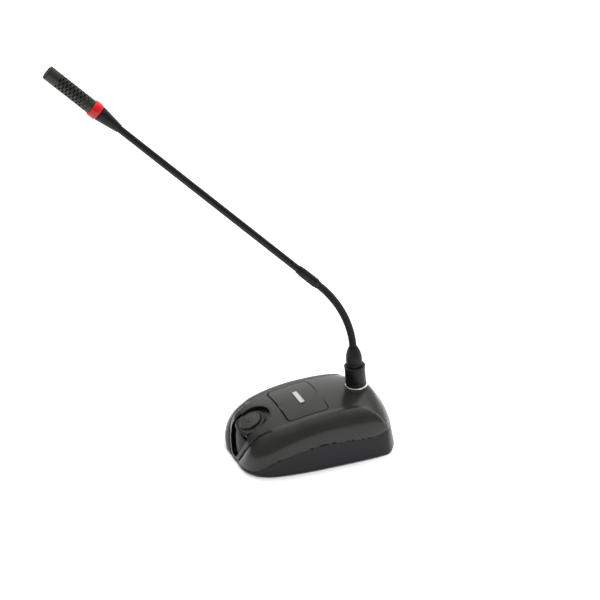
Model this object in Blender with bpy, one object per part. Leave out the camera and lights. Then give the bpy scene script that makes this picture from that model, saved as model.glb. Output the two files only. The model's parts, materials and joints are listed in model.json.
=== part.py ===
"""A gooseneck podium microphone: a weighted desk base with a talk button, and a plug-in gooseneck.

The base is a top shell and a lower housing that meet along a rising parting line. The shell has a
crowned centre deck between two full side lobes. A control plate with the talk button hangs over a
recessed front fascia, a name panel lies in the deck behind it, and a connector near the rear takes
the gooseneck. The gooseneck is a plug, a boot, a flexible neck of ten links, a straight tube and a
slotted head behind a light ring.

Frame: +Z up, the front faces -Y, the origin is on the table under the middle of the base.
Lengths below are in millimetres and angles in degrees. The meshes are built in metres.
"""

import math

import bmesh
import bpy
import numpy as np
from mathutils import Matrix, Vector

MM = 0.001
GAP = 0.3  # clearance between neighbouring pieces
ROUND = 24  # sides of a turned piece

# Base: the shell's lower edge is the parting line, and the housing's skirt flares out below it.
FOOT_DROP = 1.2  # the feet hold the housing this far off the table
BASE_HALF_WIDTH = 44.0
BASE_FRONT = 72.0
BASE_REAR = 71.0
SKIRT_FLARE = 0.105
REAR_FLARE = 0.075  # added at the rear, in proportion to how squarely the skirt faces it
WALL = 2.2
FLOOR_TOP = 3.8
GROOVE_DEPTH = 1.7  # step between the deck's rim and the lobe at the front

# Cross sections of the shell from the front tip to the rear: the deck's middle (y, z), the deck's
# edge (x, y, z), and the parting line (x, y, z) at the foot of the lobe.
STATIONS = (
    ((-72.0, 2.9), (7.0, -71.5, 3.0), (9.5, -71.8, 2.7)),
    ((-71.6, 10.0), (12.8, -70.6, 9.5), (18.7, -71.6, 2.8)),
    ((-70.6, 19.0), (18.0, -68.6, 18.5), (27.0, -69.2, 3.0)),
    ((-68.3, 27.0), (22.0, -65.9, 26.0), (34.2, -64.4, 4.2)),
    ((-64.0, 32.8), (24.2, -61.6, 31.8), (38.6, -57.8, 8.4)),
    ((-56.0, 38.0), (26.2, -54.5, 36.0), (41.2, -49.8, 13.2)),
    ((-44.0, 42.8), (28.6, -43.0, 40.3), (42.7, -39.0, 17.0)),
    ((-27.0, 47.0), (30.0, -26.7, 44.2), (43.6, -26.0, 20.1)),
    ((-10.0, 50.0), (30.5, -10.0, 47.0), (44.0, -11.0, 22.8)),
    ((7.0, 51.2), (30.5, 7.0, 48.5), (44.0, 5.0, 23.3)),
    ((24.0, 51.4), (30.8, 24.0, 48.6), (44.0, 22.0, 22.0)),
    ((38.0, 51.0), (32.0, 38.0, 47.0), (43.7, 38.0, 20.8)),
    ((47.0, 51.5), (33.8, 45.0, 44.0), (43.1, 47.0, 21.0)),
    ((55.0, 51.6), (36.0, 50.2, 39.1), (42.4, 52.5, 22.2)),
    ((61.8, 44.0), (38.0, 54.6, 33.6), (41.6, 56.0, 23.0)),
    ((67.2, 34.5), (38.8, 58.2, 28.8), (40.2, 59.2, 23.8)),
    ((71.0, 24.4), (37.0, 61.6, 24.6), (37.6, 61.9, 24.3)),
)
ROWS_PER_STATION = 2
DECK_COLUMNS = 8
LOBE_COLUMNS = 5
FRONT_GROOVE_STATIONS = 5.6  # the rim groove runs out at this station
LOBE_SWELL = (0.0, 1.4, 2.6, 3.2, 3.0, 2.4, 1.7, 1.0, 0.4, 0.0)  # the lobes' fullness, by station

# Control plate: a round dish and a tongue, in a plane tilted towards the user.
DISH_CENTRE = (0.0, -52.5, 36.7)
DISH_TILT = 25.0
DISH_RADIUS = 16.5
DISH_RIM = 0.9
DISH_STEPS = 28
MOAT_DEPTH = 3.0
PLATE_THICKNESS = 4.2
TONGUE_HALF_WIDTH = 13.5
TONGUE_FRONT = 19.0
LIP_THICKNESS = 1.5
BUTTON_OFFSET = -3.7  # the button sits in front of the dish's centre
BUTTON_HOLE_RADIUS = 10.0
BUTTON_RADIUS = 9.7
BUTTON_HEIGHT = 1.7
BUTTON_DOME = 0.6
BUTTON_TRAVEL = 1.2

# Opening in the shell's front, as half widths at heights, and the fascia behind it.
FRONT_OPENING = ((0.0, 4.4), (4.2, 5.2), (7.5, 8.5), (11.2, 14.0), (14.8, 20.5), (17.0, 27.0), (16.2, 33.0), (16.0, 60.0))
FRONT_OPENING_REAR = -58.5
FASCIA_SETBACK = 2.7
FASCIA_THICKNESS = 1.6

# Name panel and badge in the deck.
PANEL_HALF_WIDTH = 27.5
PANEL_FRONT = -30.0
PANEL_REAR = 8.0
PANEL_CORNER = 4.5
PANEL_THICKNESS = 1.0
BADGE_SIZE = (20.0, 4.4, 0.5)
BADGE_Y = -10.3

# Gooseneck line: it leaves the seat almost upright, then bends to one side of the centre.
SEAT = (0.0, 45.6, 51.7)
SEAT_TILT = 5.3
SWING = 20.3
RISE = 41.5
COLLAR_RADIUS = 9.3
COLLAR_BOTTOM = 1.5
COLLAR_TOP = 20.4
BOOT_TOP = 39.6
NECK_LENGTH = 70.0
NECK_LINKS = 10
NECK_RADIUS = 3.45
NECK_BORE = 1.7
LINK_GAP = 0.8
PIN_CIRCLE = 3.9
PIN_RADIUS = 1.15

# Straight part, measured from the top of the neck.
SLEEVE_LENGTH = 24.0
SLEEVE_RADIUS = 4.25
TUBE_RADIUS = 3.2
TUBE_BORE = 2.6
TUBE_BOTTOM = 9.0
TUBE_TOP = 229.5
CONE_BOTTOM = 223.8
CONE_TOP = 245.6
RING_BOTTOM = 245.9
RING_TOP = 253.7
RING_RADIUS = 7.6
HEAD_BOTTOM = 254.0
HEAD_TOP = 299.4
HEAD_RADIUS = 6.35
HEAD_WALL = 0.6
SLOT_RINGS = 18
SLOTS_PER_RING = 6
SLOT_ANGLE = 32.0
SLOT_PITCH = 1.83
SLOT_HEIGHT = 1.05
SLOTS_START = 257.0

# Places of the repeated pieces in the base.
FOOT_PLACES = ((-31.0, -50.0), (31.0, -50.0), (-33.0, 52.0), (33.0, 52.0))
SCREW_PLACES = ((-22.0, -44.0), (22.0, -44.0), (-24.0, 38.0), (24.0, 38.0))
POST_PLACES = ((-22.0, -20.0), (22.0, 22.0))
JACK_HEIGHT = 12.6
JACK_FACE = 71.5  # floor of the round recess that the jack is mounted in


# ---------------------------------------------------------------- helpers

def clear_scene():
    for item in list(bpy.data.objects):
        bpy.data.objects.remove(item, do_unlink=True)


def material(name, colour, roughness, metallic=0.0, transmission=0.0):
    made = bpy.data.materials.new(name)
    made.use_nodes = True
    shader = made.node_tree.nodes["Principled BSDF"]
    shader.inputs["Base Color"].default_value = (*colour, 1.0)
    shader.inputs["Roughness"].default_value = roughness
    shader.inputs["Metallic"].default_value = metallic
    shader.inputs["Transmission Weight"].default_value = transmission
    made.diffuse_color = (*colour, 1.0)
    return made


def frame_along(origin, direction, side=(1.0, 0.0, 0.0)):
    """A frame at origin (mm) with local Z along direction and local X close to side."""
    z = Vector(direction).normalized()
    y = z.cross(Vector(side)).normalized()
    x = y.cross(z)
    turn = Matrix((x, y, z)).transposed().to_4x4()
    return Matrix.Translation(Vector(origin) * MM) @ turn


def flat_frame(x=0.0, y=0.0, z=0.0):
    return Matrix.Translation(Vector((x, y, z)) * MM)


def add_object(name, points, faces, look=None, frame=None, smooth_angle=35.0):
    """An object from points in millimetres, with its faces turned outward."""
    mesh = bpy.data.meshes.new(name)
    mesh.from_pydata([tuple(float(c) * MM for c in p) for p in points], [], faces)
    work = bmesh.new()
    work.from_mesh(mesh)
    bmesh.ops.recalc_face_normals(work, faces=work.faces)
    work.to_mesh(mesh)
    work.free()
    mesh.shade_smooth()
    mesh.set_sharp_from_angle(angle=math.radians(smooth_angle))
    made = bpy.data.objects.new(name, mesh)
    bpy.context.scene.collection.objects.link(made)
    made.matrix_world = frame or Matrix.Identity(4)
    if look:
        mesh.materials.append(look)
    return made


def copy_of(source, name, frame):
    """Another object that shares the mesh of source."""
    made = bpy.data.objects.new(name, source.data)
    bpy.context.scene.collection.objects.link(made)
    made.matrix_world = frame
    return made


def turned(name, profile, look=None, frame=None, sides=ROUND):
    """A piece turned about local Z from a closed profile of (radius, height)."""
    points = []
    rings = []
    for radius, height in profile:
        if radius <= 0.0:
            rings.append([len(points)] * sides)
            points.append((0.0, 0.0, height))
            continue
        rings.append([len(points) + i for i in range(sides)])
        for i in range(sides):
            angle = math.tau * i / sides
            points.append((radius * math.cos(angle), radius * math.sin(angle), height))
    faces = []
    for k, ring in enumerate(rings):
        above = rings[(k + 1) % len(rings)]
        for i in range(sides):
            j = (i + 1) % sides
            corners = list(dict.fromkeys((ring[i], ring[j], above[j], above[i])))
            if len(corners) > 2:
                faces.append(corners)
    return add_object(name, points, faces, look, frame)


def disc_profile(radius, bottom, top):
    return [(0.0, bottom), (radius, bottom), (radius, top), (0.0, top)]


def tube_profile(outer, inner, bottom, top):
    return [(outer, bottom), (outer, top), (inner, top), (inner, bottom)]


def extruded(name, outline, bottom, top, look=None, frame=None):
    """A prism on a closed outline of (x, y), between two local heights."""
    count = len(outline)
    points = [(x, y, bottom) for x, y in outline] + [(x, y, top) for x, y in outline]
    faces = [list(range(count)), list(range(count, 2 * count))]
    for i in range(count):
        j = (i + 1) % count
        faces.append([i, j, count + j, count + i])
    return add_object(name, points, faces, look, frame)


def arc(centre, radius, start, end, steps):
    """Points on an arc, both ends included, with angles in degrees."""
    angles = np.radians(np.linspace(start, end, steps + 1))
    return [(centre[0] + radius * math.cos(a), centre[1] + radius * math.sin(a)) for a in angles]


def rounded_rectangle(x0, x1, y0, y1, radius, steps=5):
    corners = ((x1 - radius, y0 + radius, -90), (x1 - radius, y1 - radius, 0),
               (x0 + radius, y1 - radius, 90), (x0 + radius, y0 + radius, 180))
    outline = []
    for x, y, start in corners:
        outline += arc((x, y), radius, start, start + 90, steps)
    return outline


def boolean(target, tool, operation="DIFFERENCE"):
    """Adds a Boolean to target and hides the tool, which stays as a guide."""
    step = target.modifiers.new(tool.name, "BOOLEAN")
    step.operation = operation
    step.solver = "EXACT"
    step.object = tool
    tool.hide_render = True
    tool.display_type = "WIRE"
    return target


def spline(points, per_span):
    """A smooth curve through the points (Catmull-Rom), per_span samples for each span."""
    path = np.array(points, float)
    ends = np.vstack((2 * path[0] - path[1], path, 2 * path[-1] - path[-2]))
    samples = []
    for i in range(len(path) - 1):
        a, b, c, d = ends[i:i + 4]
        for k in range(per_span):
            t = k / per_span
            samples.append(0.5 * (2 * b + (c - a) * t + (2 * a - 5 * b + 4 * c - d) * t ** 2
                                  + (3 * b - a - 3 * c + d) * t ** 3))
    samples.append(path[-1])
    return np.array(samples)


# ---------------------------------------------------------------- shell surface

DECK_MIDDLE = spline([s[0] for s in STATIONS], ROWS_PER_STATION)
DECK_EDGE = spline([s[1] for s in STATIONS], ROWS_PER_STATION)
PARTING = spline([s[2] for s in STATIONS], ROWS_PER_STATION)


def deck_height(x, y):
    """Height of the deck's surface, for the part of it between the front face and the seat."""
    middle = np.interp(y, DECK_MIDDLE[:, 0], DECK_MIDDLE[:, 1])
    edge = np.interp(y, DECK_EDGE[:, 1], DECK_EDGE[:, 2])
    half = np.interp(y, DECK_EDGE[:, 1], DECK_EDGE[:, 0])
    return float(middle + (edge - middle) * (x / half) ** 2)


def deck_row(row):
    """Points across the deck from its -X edge to its +X edge, at one row."""
    y_middle, z_middle = DECK_MIDDLE[row]
    x_edge, y_edge, z_edge = DECK_EDGE[row]
    rearness = max(0.0, row / (len(DECK_MIDDLE) - 1) * 4.0 - 3.0)
    power = 2.0 + 0.8 * rearness
    across = []
    for u in np.linspace(-1.0, 1.0, DECK_COLUMNS + 1):
        y = y_middle + (y_edge - y_middle) * abs(u) ** power
        z = z_middle + (z_edge - z_middle) * abs(u) ** power
        across.append((u * x_edge, y, z))
    return across


def lobe_row(row, groove):
    """Points down the +X lobe from beside the deck's edge to the parting line, at one row."""
    edge = DECK_EDGE[row]
    foot = PARTING[row]
    fade = max(0.0, 1.0 - row / (FRONT_GROOVE_STATIONS * ROWS_PER_STATION)) ** 0.5
    inward = np.array((-edge[0], -0.45 * edge[1], 12.0 - edge[2]))
    inward /= np.linalg.norm(inward)
    start = edge + inward * groove * min(1.0, 1.6 * fade) * min(1.0, row / 2.0)
    lean = edge - foot
    side = lean * (1.0, 1.0, 0.0)
    rise = lean * (0.0, 0.0, 1.0)
    swell = np.interp(row / ROWS_PER_STATION, range(len(LOBE_SWELL)), LOBE_SWELL)
    swell = outline_normals(foot[None])[0] * swell
    low = foot - 0.2 * side + 0.48 * rise + swell
    high = start - 0.8 * side + 0.03 * rise + swell
    down = []
    for t in np.linspace(0.0, 1.0, LOBE_COLUMNS + 1):
        s = 1.0 - t
        down.append(s ** 3 * start + 3 * s * s * t * high + 3 * s * t * t * low + t ** 3 * foot)
    return [tuple(p) for p in down]


def skin(groove):
    """The shell's outer surface as rows of points, from one parting line over to the other."""
    rows = []
    for row in range(len(DECK_MIDDLE)):
        deck = deck_row(row)
        lobe = lobe_row(row, groove)
        mirrored = [(-x, y, z) for x, y, z in reversed(lobe)]
        if groove == 0.0:
            mirrored.pop()
            lobe = lobe[1:]
            mirrored.append(deck[0])
            lobe.insert(0, deck[-1])
        rows.append(mirrored + deck + lobe)
    return np.array(rows)


def offset_inward(grid, distance):
    """The grid moved inward along its own normals."""
    along = np.gradient(grid, axis=0)
    across = np.gradient(grid, axis=1)
    for k in range(1, grid.shape[1] - 1):
        across[:, k] = grid[:, min(k + 2, grid.shape[1] - 1)] - grid[:, max(k - 2, 0)]
    normal = np.cross(along, across)
    normal /= np.linalg.norm(normal, axis=2, keepdims=True)
    centre = grid.mean(axis=(0, 1))
    outward = np.sign(((grid - centre) * normal).sum())
    return grid - outward * normal * distance


def sheet_faces(rows, columns, start):
    faces = []
    for i in range(rows - 1):
        for j in range(columns - 1):
            a = start + i * columns + j
            faces.append([a, a + 1, a + columns + 1, a + columns])
    return faces


def border(rows, columns):
    """Indices round the edge of a grid of points."""
    front = list(range(columns))
    right = [i * columns + columns - 1 for i in range(1, rows)]
    back = [(rows - 1) * columns + j for j in range(columns - 2, -1, -1)]
    left = [i * columns for i in range(rows - 2, 0, -1)]
    return front + right + back + left


def shell_object(look):
    outer = skin(GROOVE_DEPTH)
    inner = offset_inward(skin(0.0), WALL)
    rows, columns = outer.shape[:2]
    count = rows * columns
    outer = outer.reshape(-1, 3)
    inner = inner.reshape(-1, 3)
    rim = border(rows, columns)
    inner[rim, 2] = np.maximum(inner[rim, 2], outer[rim, 2])
    points = np.vstack((outer, inner))
    faces = sheet_faces(rows, columns, 0) + sheet_faces(rows, columns, count)
    for a, b in zip(rim, rim[1:] + rim[:1]):
        faces.append([a, b, count + b, count + a])
    return add_object("top_shell", points, faces, look, smooth_angle=28.0)


def envelope(name):
    """The closed volume under the shell's outer surface, used to trim pieces flush with it."""
    outer = skin(0.0)
    rows, columns = outer.shape[:2]
    points = list(map(tuple, outer.reshape(-1, 3))) + [(0.0, 0.0, 6.0)]
    faces = sheet_faces(rows, columns, 0)
    rim = border(rows, columns)
    for a, b in zip(rim, rim[1:] + rim[:1]):
        faces.append([a, b, len(points) - 1])
    return add_object(name, points, faces)


# ---------------------------------------------------------------- base pieces

def outline_normals(loop):
    """Outward directions, level with the table, at the points of the base's outline."""
    steep = np.stack([(loop[:, 0] / BASE_HALF_WIDTH) ** 3 / BASE_HALF_WIDTH,
                      (loop[:, 1] / BASE_FRONT) ** 3 / BASE_FRONT, 0.0 * loop[:, 0]], axis=1)
    return steep / np.linalg.norm(steep, axis=1, keepdims=True)


def housing_object(look):
    """A tub: skirt, floor and inner wall, lofted from rings below the shell's lower edge."""
    outer = skin(0.0)
    loop = outer.reshape(-1, 3)[border(*outer.shape[:2])]
    out = outline_normals(loop)
    height = loop[:, 2] - FOOT_DROP

    def ring(reach, heights):
        moved = loop + out * np.reshape(reach, (-1, 1))
        moved[:, 2] = heights
        return moved

    flare = (SKIRT_FLARE + REAR_FLARE * np.maximum(out[:, 1], 0.0)) * height
    lip = loop[:, 2] - GAP
    rings = [
        ring(0.0, lip),
        ring(flare, FOOT_DROP + 0.5),
        ring(flare - 0.4, FOOT_DROP),
        ring(-WALL - 2.2, FLOOR_TOP),
        ring(-WALL - 1.4, np.maximum(lip - 1.3, FOOT_DROP + 0.8)),
    ]
    count = len(loop)
    points = np.vstack(rings)
    faces = []
    for a, b in ((0, 1), (1, 2), (3, 4), (4, 0)):
        for i in range(count):
            j = (i + 1) % count
            faces.append([a * count + i, a * count + j, b * count + j, b * count + i])
    faces.append([2 * count + i for i in range(count)])
    faces.append([3 * count + i for i in range(count)])
    return add_object("lower_housing", points, faces, look)


def deck_slab(name, depth, margin, lift):
    """A slab that follows the deck under the name panel: from depth below it to lift above it."""
    xs = np.linspace(-PANEL_HALF_WIDTH - margin, PANEL_HALF_WIDTH + margin, 9)
    ys = np.linspace(PANEL_FRONT - margin, PANEL_REAR + margin, 8)
    above = [(x, y, deck_height(x, y) + lift) for y in ys for x in xs]
    below = [(x, y, deck_height(x, y) - depth) for y in ys for x in xs]
    rows, columns = len(ys), len(xs)
    count = len(above)
    faces = sheet_faces(rows, columns, 0) + sheet_faces(rows, columns, count)
    rim = border(rows, columns)
    for a, b in zip(rim, rim[1:] + rim[:1]):
        faces.append([a, b, count + b, count + a])
    return add_object(name, above + below, faces)


def panel_outline(grow):
    return rounded_rectangle(-PANEL_HALF_WIDTH - grow, PANEL_HALF_WIDTH + grow,
                             PANEL_FRONT - grow, PANEL_REAR + grow, PANEL_CORNER + grow)


def dish_frame():
    tilt = math.radians(DISH_TILT)
    return frame_along(DISH_CENTRE, (0.0, -math.sin(tilt), math.cos(tilt)))


def button_frame(height=0.0):
    return dish_frame() @ flat_frame(0.0, BUTTON_OFFSET, height)


def plate_outline(grow):
    """The dish's circle with the tongue in front of it, in the dish's plane."""
    radius = DISH_RADIUS + grow
    half = TONGUE_HALF_WIDTH + grow
    meet = math.acos(half / radius)
    corner = (radius * math.cos(meet), -radius * math.sin(meet))
    outline = [corner] + arc((0.0, 0.0), radius, -24.0, 204.0, DISH_STEPS) + [(-corner[0], corner[1])]
    bow = 5.0
    bow_radius = (half ** 2 + bow ** 2) / (2 * bow)
    spread = math.degrees(math.asin(half / bow_radius))
    centre = (0.0, -TONGUE_FRONT - grow + bow_radius)
    return outline + arc(centre, bow_radius, -90.0 - spread, -90.0 + spread, 8)


def moat_outline():
    """The crescent between the button's platform and the dish's wall."""
    outer = arc((0.0, 0.0), DISH_RADIUS - DISH_RIM, -24.0, 204.0, DISH_STEPS)
    return outer + arc((0.0, BUTTON_OFFSET), TONGUE_HALF_WIDTH, 184.0, -4.0, 18)


def add_control_plate(look):
    place = dish_frame()
    plate = extruded("control_plate", plate_outline(0.0), -PLATE_THICKNESS, 9.0, look, place)
    boolean(plate, envelope("plate_trim"), "INTERSECT")
    clearing = arc((0.0, 0.0), DISH_RADIUS - DISH_RIM, -24.0, 204.0, DISH_STEPS)
    clearing += [(-22.0, -6.5), (-22.0, -30.0), (22.0, -30.0), (22.0, -6.5)]
    boolean(plate, extruded("plate_clearing", clearing, 0.0, 14.0, frame=place))
    boolean(plate, extruded("plate_moat", moat_outline(), -MOAT_DEPTH, 1.0, frame=place))
    hole = disc_profile(BUTTON_HOLE_RADIUS, -PLATE_THICKNESS - 1.0, 2.0)
    boolean(plate, turned("plate_hole", hole, frame=button_frame(), sides=32))
    under = rounded_rectangle(-20.0, 20.0, -34.0, -14.9, 1.0, 1)
    boolean(plate, extruded("plate_undercut", under, -9.0, -LIP_THICKNESS, frame=place))


def add_button(look_button, look_lens, look_plunger):
    back = -PLATE_THICKNESS - GAP
    crown = [(BUTTON_RADIUS * math.sin(a), BUTTON_HEIGHT + BUTTON_DOME * math.cos(a))
             for a in np.radians((75.0, 45.0, 20.0))]
    profile = [(0.0, back - 3.2), (2.4, back - 3.2), (2.4, back - 1.4), (11.2, back - 1.4),
               (11.2, back), (BUTTON_RADIUS, back), (BUTTON_RADIUS, BUTTON_HEIGHT - 0.3)]
    profile += crown
    profile += [(1.9, BUTTON_HEIGHT + BUTTON_DOME), (1.9, BUTTON_HEIGHT - 0.6), (0.0, BUTTON_HEIGHT - 0.6)]
    turned("talk_button", profile, look_button, button_frame(), sides=26)
    lens = [(0.0, -0.3), (1.6, -0.3), (1.6, 0.5), (1.0, 0.8), (0.0, 0.8)]
    turned("talk_lens", lens, look_lens, button_frame(BUTTON_HEIGHT), sides=14)
    tip = back - 3.2 - GAP
    turned("switch_plunger", disc_profile(1.5, tip - 3.4, tip), look_plunger, button_frame(), sides=16)
    return tip


def add_switch(tip, look_switch, look_board, look_screw):
    """The key switch, its small board behind the button, and the board's two screws."""
    top = tip - 1.5
    body = extruded("talk_switch", rounded_rectangle(-3.1, 3.1, -3.1, 3.1, 0.4, 2), top - 3.6, top,
                    look_switch, button_frame())
    boolean(body, turned("switch_bore", disc_profile(1.8, top - 3.2, top + 1.0), frame=button_frame(),
                         sides=12))
    board_top = top - 3.6 - GAP
    board = extruded("control_board", rounded_rectangle(-13.0, 13.0, -7.5, 10.0, 1.5, 3),
                     board_top - 1.6, board_top, look_board, button_frame())
    for number, x in enumerate((-10.2, 10.2), 1):
        place = button_frame() @ flat_frame(x, 2.0, board_top)
        boolean(board, turned(f"board_hole_{number}", disc_profile(1.5, -3.0, 1.0), frame=place, sides=12))
        shank = [(0.0, -4.0), (1.2, -4.0), (1.2, GAP), (2.3, GAP), (2.3, 1.3), (1.5, 1.9), (0.0, 1.9)]
        turned(f"control_board_screw_{number}", shank, look_screw, place, sides=10)


def add_fascia(look):
    """A dark plate behind the front opening, parallel to the front face."""
    grid = skin(0.0)
    rows = 3 * ROWS_PER_STATION
    first = LOBE_COLUMNS + 1
    deck = slice(first, first + DECK_COLUMNS + 1)
    near = offset_inward(grid, FASCIA_SETBACK)[1:rows, deck]
    far = offset_inward(grid, FASCIA_SETBACK + FASCIA_THICKNESS)[1:rows, deck]
    near = near * (0.93, 1.0, 1.0)
    far = far * (0.93, 1.0, 1.0)
    row_count, column_count = near.shape[:2]
    count = row_count * column_count
    points = np.vstack((near.reshape(-1, 3), far.reshape(-1, 3)))
    faces = sheet_faces(row_count, column_count, 0) + sheet_faces(row_count, column_count, count)
    rim = border(row_count, column_count)
    for a, b in zip(rim, rim[1:] + rim[:1]):
        faces.append([a, b, count + b, count + a])
    add_object("front_fascia", points, faces, look)


def add_top_shell(look):
    shell = shell_object(look)
    for number, (x, y) in enumerate(SCREW_PLACES, 1):
        post = tube_profile(3.3, 1.7, FLOOR_TOP + GAP, deck_height(x, y) - 1.5)
        boss = turned(f"boss_{number}", post, frame=flat_frame(x, y), sides=20)
        cap = deck_height(x, y)
        boolean(shell, boss, "UNION")
        pilot = disc_profile(1.7, FLOOR_TOP - 2.0, cap - WALL - 4.0)
        boolean(shell, turned(f"pilot_{number}", pilot, frame=flat_frame(x, y), sides=14))
    boolean(shell, extruded("dish_opening", plate_outline(GAP), -12.0, 14.0, frame=dish_frame()))
    half = [(x, z) for x, z in FRONT_OPENING]
    outline = half + [(-x, z) for x, z in reversed(half[1:])]
    upright = Matrix.Translation((0.0, -90.0 * MM, 0.0)) @ Matrix.Rotation(math.radians(90.0), 4, "X")
    boolean(shell, extruded("front_opening", outline, -90.0 - FRONT_OPENING_REAR, 0.0, frame=upright))
    pocket = extruded("panel_pocket", panel_outline(GAP), 0.0, 70.0)
    boolean(pocket, deck_slab("panel_pocket_depth", PANEL_THICKNESS + GAP, 2.0, 4.0), "INTERSECT")
    boolean(shell, pocket)
    seat = frame_along(SEAT, SEAT_AXIS)
    boolean(shell, turned("seat_pocket", disc_profile(10.5, -0.9, 12.0), frame=seat, sides=28))
    boolean(shell, turned("seat_hole", disc_profile(9.5, -20.0, 2.0), frame=seat, sides=28))


def add_lower_housing(look):
    housing = housing_object(look)
    for number, (x, y) in enumerate(POST_PLACES, 1):
        post = turned(f"post_{number}", tube_profile(3.0, 1.5, FLOOR_TOP - 1.0, 13.6),
                      frame=flat_frame(x, y), sides=20)
        boolean(housing, post, "UNION")
    for number, (x, y) in enumerate(SCREW_PLACES, 1):
        sink = [(0.0, -1.0), (3.4, -1.0), (3.4, FOOT_DROP + 1.2), (1.7, FOOT_DROP + 1.2), (1.7, 5.0), (0.0, 5.0)]
        boolean(housing, turned(f"screw_sink_{number}", sink, frame=flat_frame(x, y), sides=14))
    for number, (x, y) in enumerate(FOOT_PLACES, 1):
        recess = disc_profile(6.5, -1.0, FOOT_DROP + 0.9)
        boolean(housing, turned(f"foot_recess_{number}", recess, frame=flat_frame(x, y), sides=14))
    jack = frame_along((0.0, 60.0, JACK_HEIGHT), (0.0, 1.0, 0.0))
    boolean(housing, turned("jack_hole", disc_profile(4.9, 0.0, 20.0), frame=jack, sides=20))
    recess = disc_profile(8.4, JACK_FACE - 60.0, 20.0)
    boolean(housing, turned("jack_recess", recess, frame=jack, sides=28))


def add_feet_and_screws(look_foot, look_screw):
    foot = None
    for number, (x, y) in enumerate(FOOT_PLACES, 1):
        place = flat_frame(x, y)
        if foot:
            copy_of(foot, f"foot_{number}", place)
        else:
            profile = [(0.0, 0.0), (5.4, 0.0), (6.1, 0.6), (6.1, FOOT_DROP + 0.6), (0.0, FOOT_DROP + 0.6)]
            foot = turned(f"foot_{number}", profile, look_foot, place, sides=20)
    for number, (x, y) in enumerate(SCREW_PLACES, 1):
        head = FOOT_DROP + 0.2
        profile = [(0.0, head), (2.2, head), (2.9, head + 0.4), (2.9, FOOT_DROP + 0.9), (1.35, FOOT_DROP + 0.9),
                   (1.35, 16.0), (0.0, 16.0)]
        screw = turned(f"case_screw_{number}", profile, look_screw, flat_frame(x, y), sides=12)
        for turn, (a, b) in enumerate(((1.7, 0.35), (0.35, 1.7)), 1):
            bar = ((-a, -b), (a, -b), (a, b), (-a, b))
            boolean(screw, extruded(f"cross_{number}_{turn}", bar, 0.0, head + 0.7, frame=flat_frame(x, y)))


def add_ballast_and_board(look_steel, look_board, look_chip, look_can, look_screw):
    outline = rounded_rectangle(-34.0, 34.0, -36.0, 33.0, 5.0)
    plate = extruded("ballast_plate", outline, FLOOR_TOP + GAP, 10.4, look_steel)
    for number, (x, y) in enumerate(POST_PLACES, 1):
        boolean(plate, turned(f"ballast_hole_{number}", disc_profile(3.4, 0.0, 14.0),
                              frame=flat_frame(x, y), sides=14))
    bottom = 13.9
    board = extruded("main_board", rounded_rectangle(-29.0, 29.0, -27.0, 29.0, 2.0, 3), bottom, bottom + 1.6,
                     look_board)
    for number, (x, y) in enumerate(POST_PLACES, 1):
        boolean(board, turned(f"main_hole_{number}", disc_profile(1.6, 10.0, 20.0), frame=flat_frame(x, y),
                              sides=12))
        shank = [(0.0, 6.5), (1.2, 6.5), (1.2, bottom + 1.9), (2.6, bottom + 1.9), (2.6, bottom + 3.1),
                 (1.8, bottom + 3.8), (0.0, bottom + 3.8)]
        turned(f"main_board_screw_{number}", shank, look_screw, flat_frame(x, y), sides=10)
    top = bottom + 1.6 + GAP
    extruded("board_chip", rounded_rectangle(-7.0, 5.0, -6.0, 4.0, 0.5, 2), top, top + 1.8, look_chip)
    can = [(0.0, top), (4.0, top), (4.0, top + 9.0), (3.5, top + 9.6), (0.0, top + 9.6)]
    turned("board_capacitor", can, look_can, flat_frame(14.0, -12.0), sides=24)


def add_name_panel(look_panel, look_badge):
    panel = extruded("name_panel", panel_outline(0.0), 0.0, 70.0, look_panel)
    boolean(panel, deck_slab("panel_shape", PANEL_THICKNESS, 3.0, 0.0), "INTERSECT")
    length, width, height = BADGE_SIZE
    slope = (deck_height(0.0, BADGE_Y + 2.0) - deck_height(0.0, BADGE_Y - 2.0)) / 4.0
    bottom = deck_height(0.0, BADGE_Y) + GAP
    place = frame_along((0.0, BADGE_Y, bottom), (0.0, -slope, 1.0))
    outline = rounded_rectangle(-length / 2, length / 2, -width / 2, width / 2, 0.8, 3)
    extruded("badge", outline, 0.0, height, look_badge, place)


def add_socket(look_ring, look_core, look_nut):
    """The connector in the deck: chrome rim and tube, insulating core, and the nut under the deck."""
    seat = frame_along(SEAT, SEAT_AXIS)
    rim = [(9.2, -16.0), (9.2, -0.6), (10.2, -0.6), (10.2, 0.7), (9.7, 1.2), (8.0, 1.2), (8.0, -16.0)]
    turned("socket_ring", rim, look_ring, seat, sides=28)
    core = [(0.0, -18.0), (7.7, -18.0), (7.7, -13.6), (6.3, -13.6), (6.3, -1.6), (0.0, -1.6)]
    body = turned("socket_core", core, look_core, seat)
    for number, (x, y) in enumerate(pin_places(), 1):
        boolean(body, turned(f"contact_{number}", disc_profile(1.5, -20.0, 2.0), frame=seat @ flat_frame(x, y),
                             sides=12))
    turned("socket_nut", tube_profile(11.3, 9.9, -12.0, -9.0), look_nut, seat, sides=12)


def add_output_jack(look_body, look_nut):
    place = frame_along((0.0, JACK_FACE, JACK_HEIGHT), (0.0, 1.0, 0.0))
    bushing = [(0.0, -22.5), (6.6, -22.5), (6.6, -5.6), (4.5, -5.6), (4.5, 2.4), (4.1, 2.8), (3.3, 2.8),
               (3.3, -19.5), (0.0, -19.5)]
    turned("output_jack", bushing, look_body, place, sides=20)
    turned("output_jack_nut", tube_profile(6.9, 5.5, GAP, 1.9), look_nut, place, sides=6)


# ---------------------------------------------------------------- gooseneck pieces

SEAT_AXIS = Vector((0.0, -math.sin(math.radians(SEAT_TILT)), math.cos(math.radians(SEAT_TILT))))


def head_axis():
    swing, rise = math.radians(SWING), math.radians(RISE)
    return Vector((-math.sin(swing) * math.cos(rise), -math.cos(swing) * math.cos(rise), math.sin(rise)))


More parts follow.
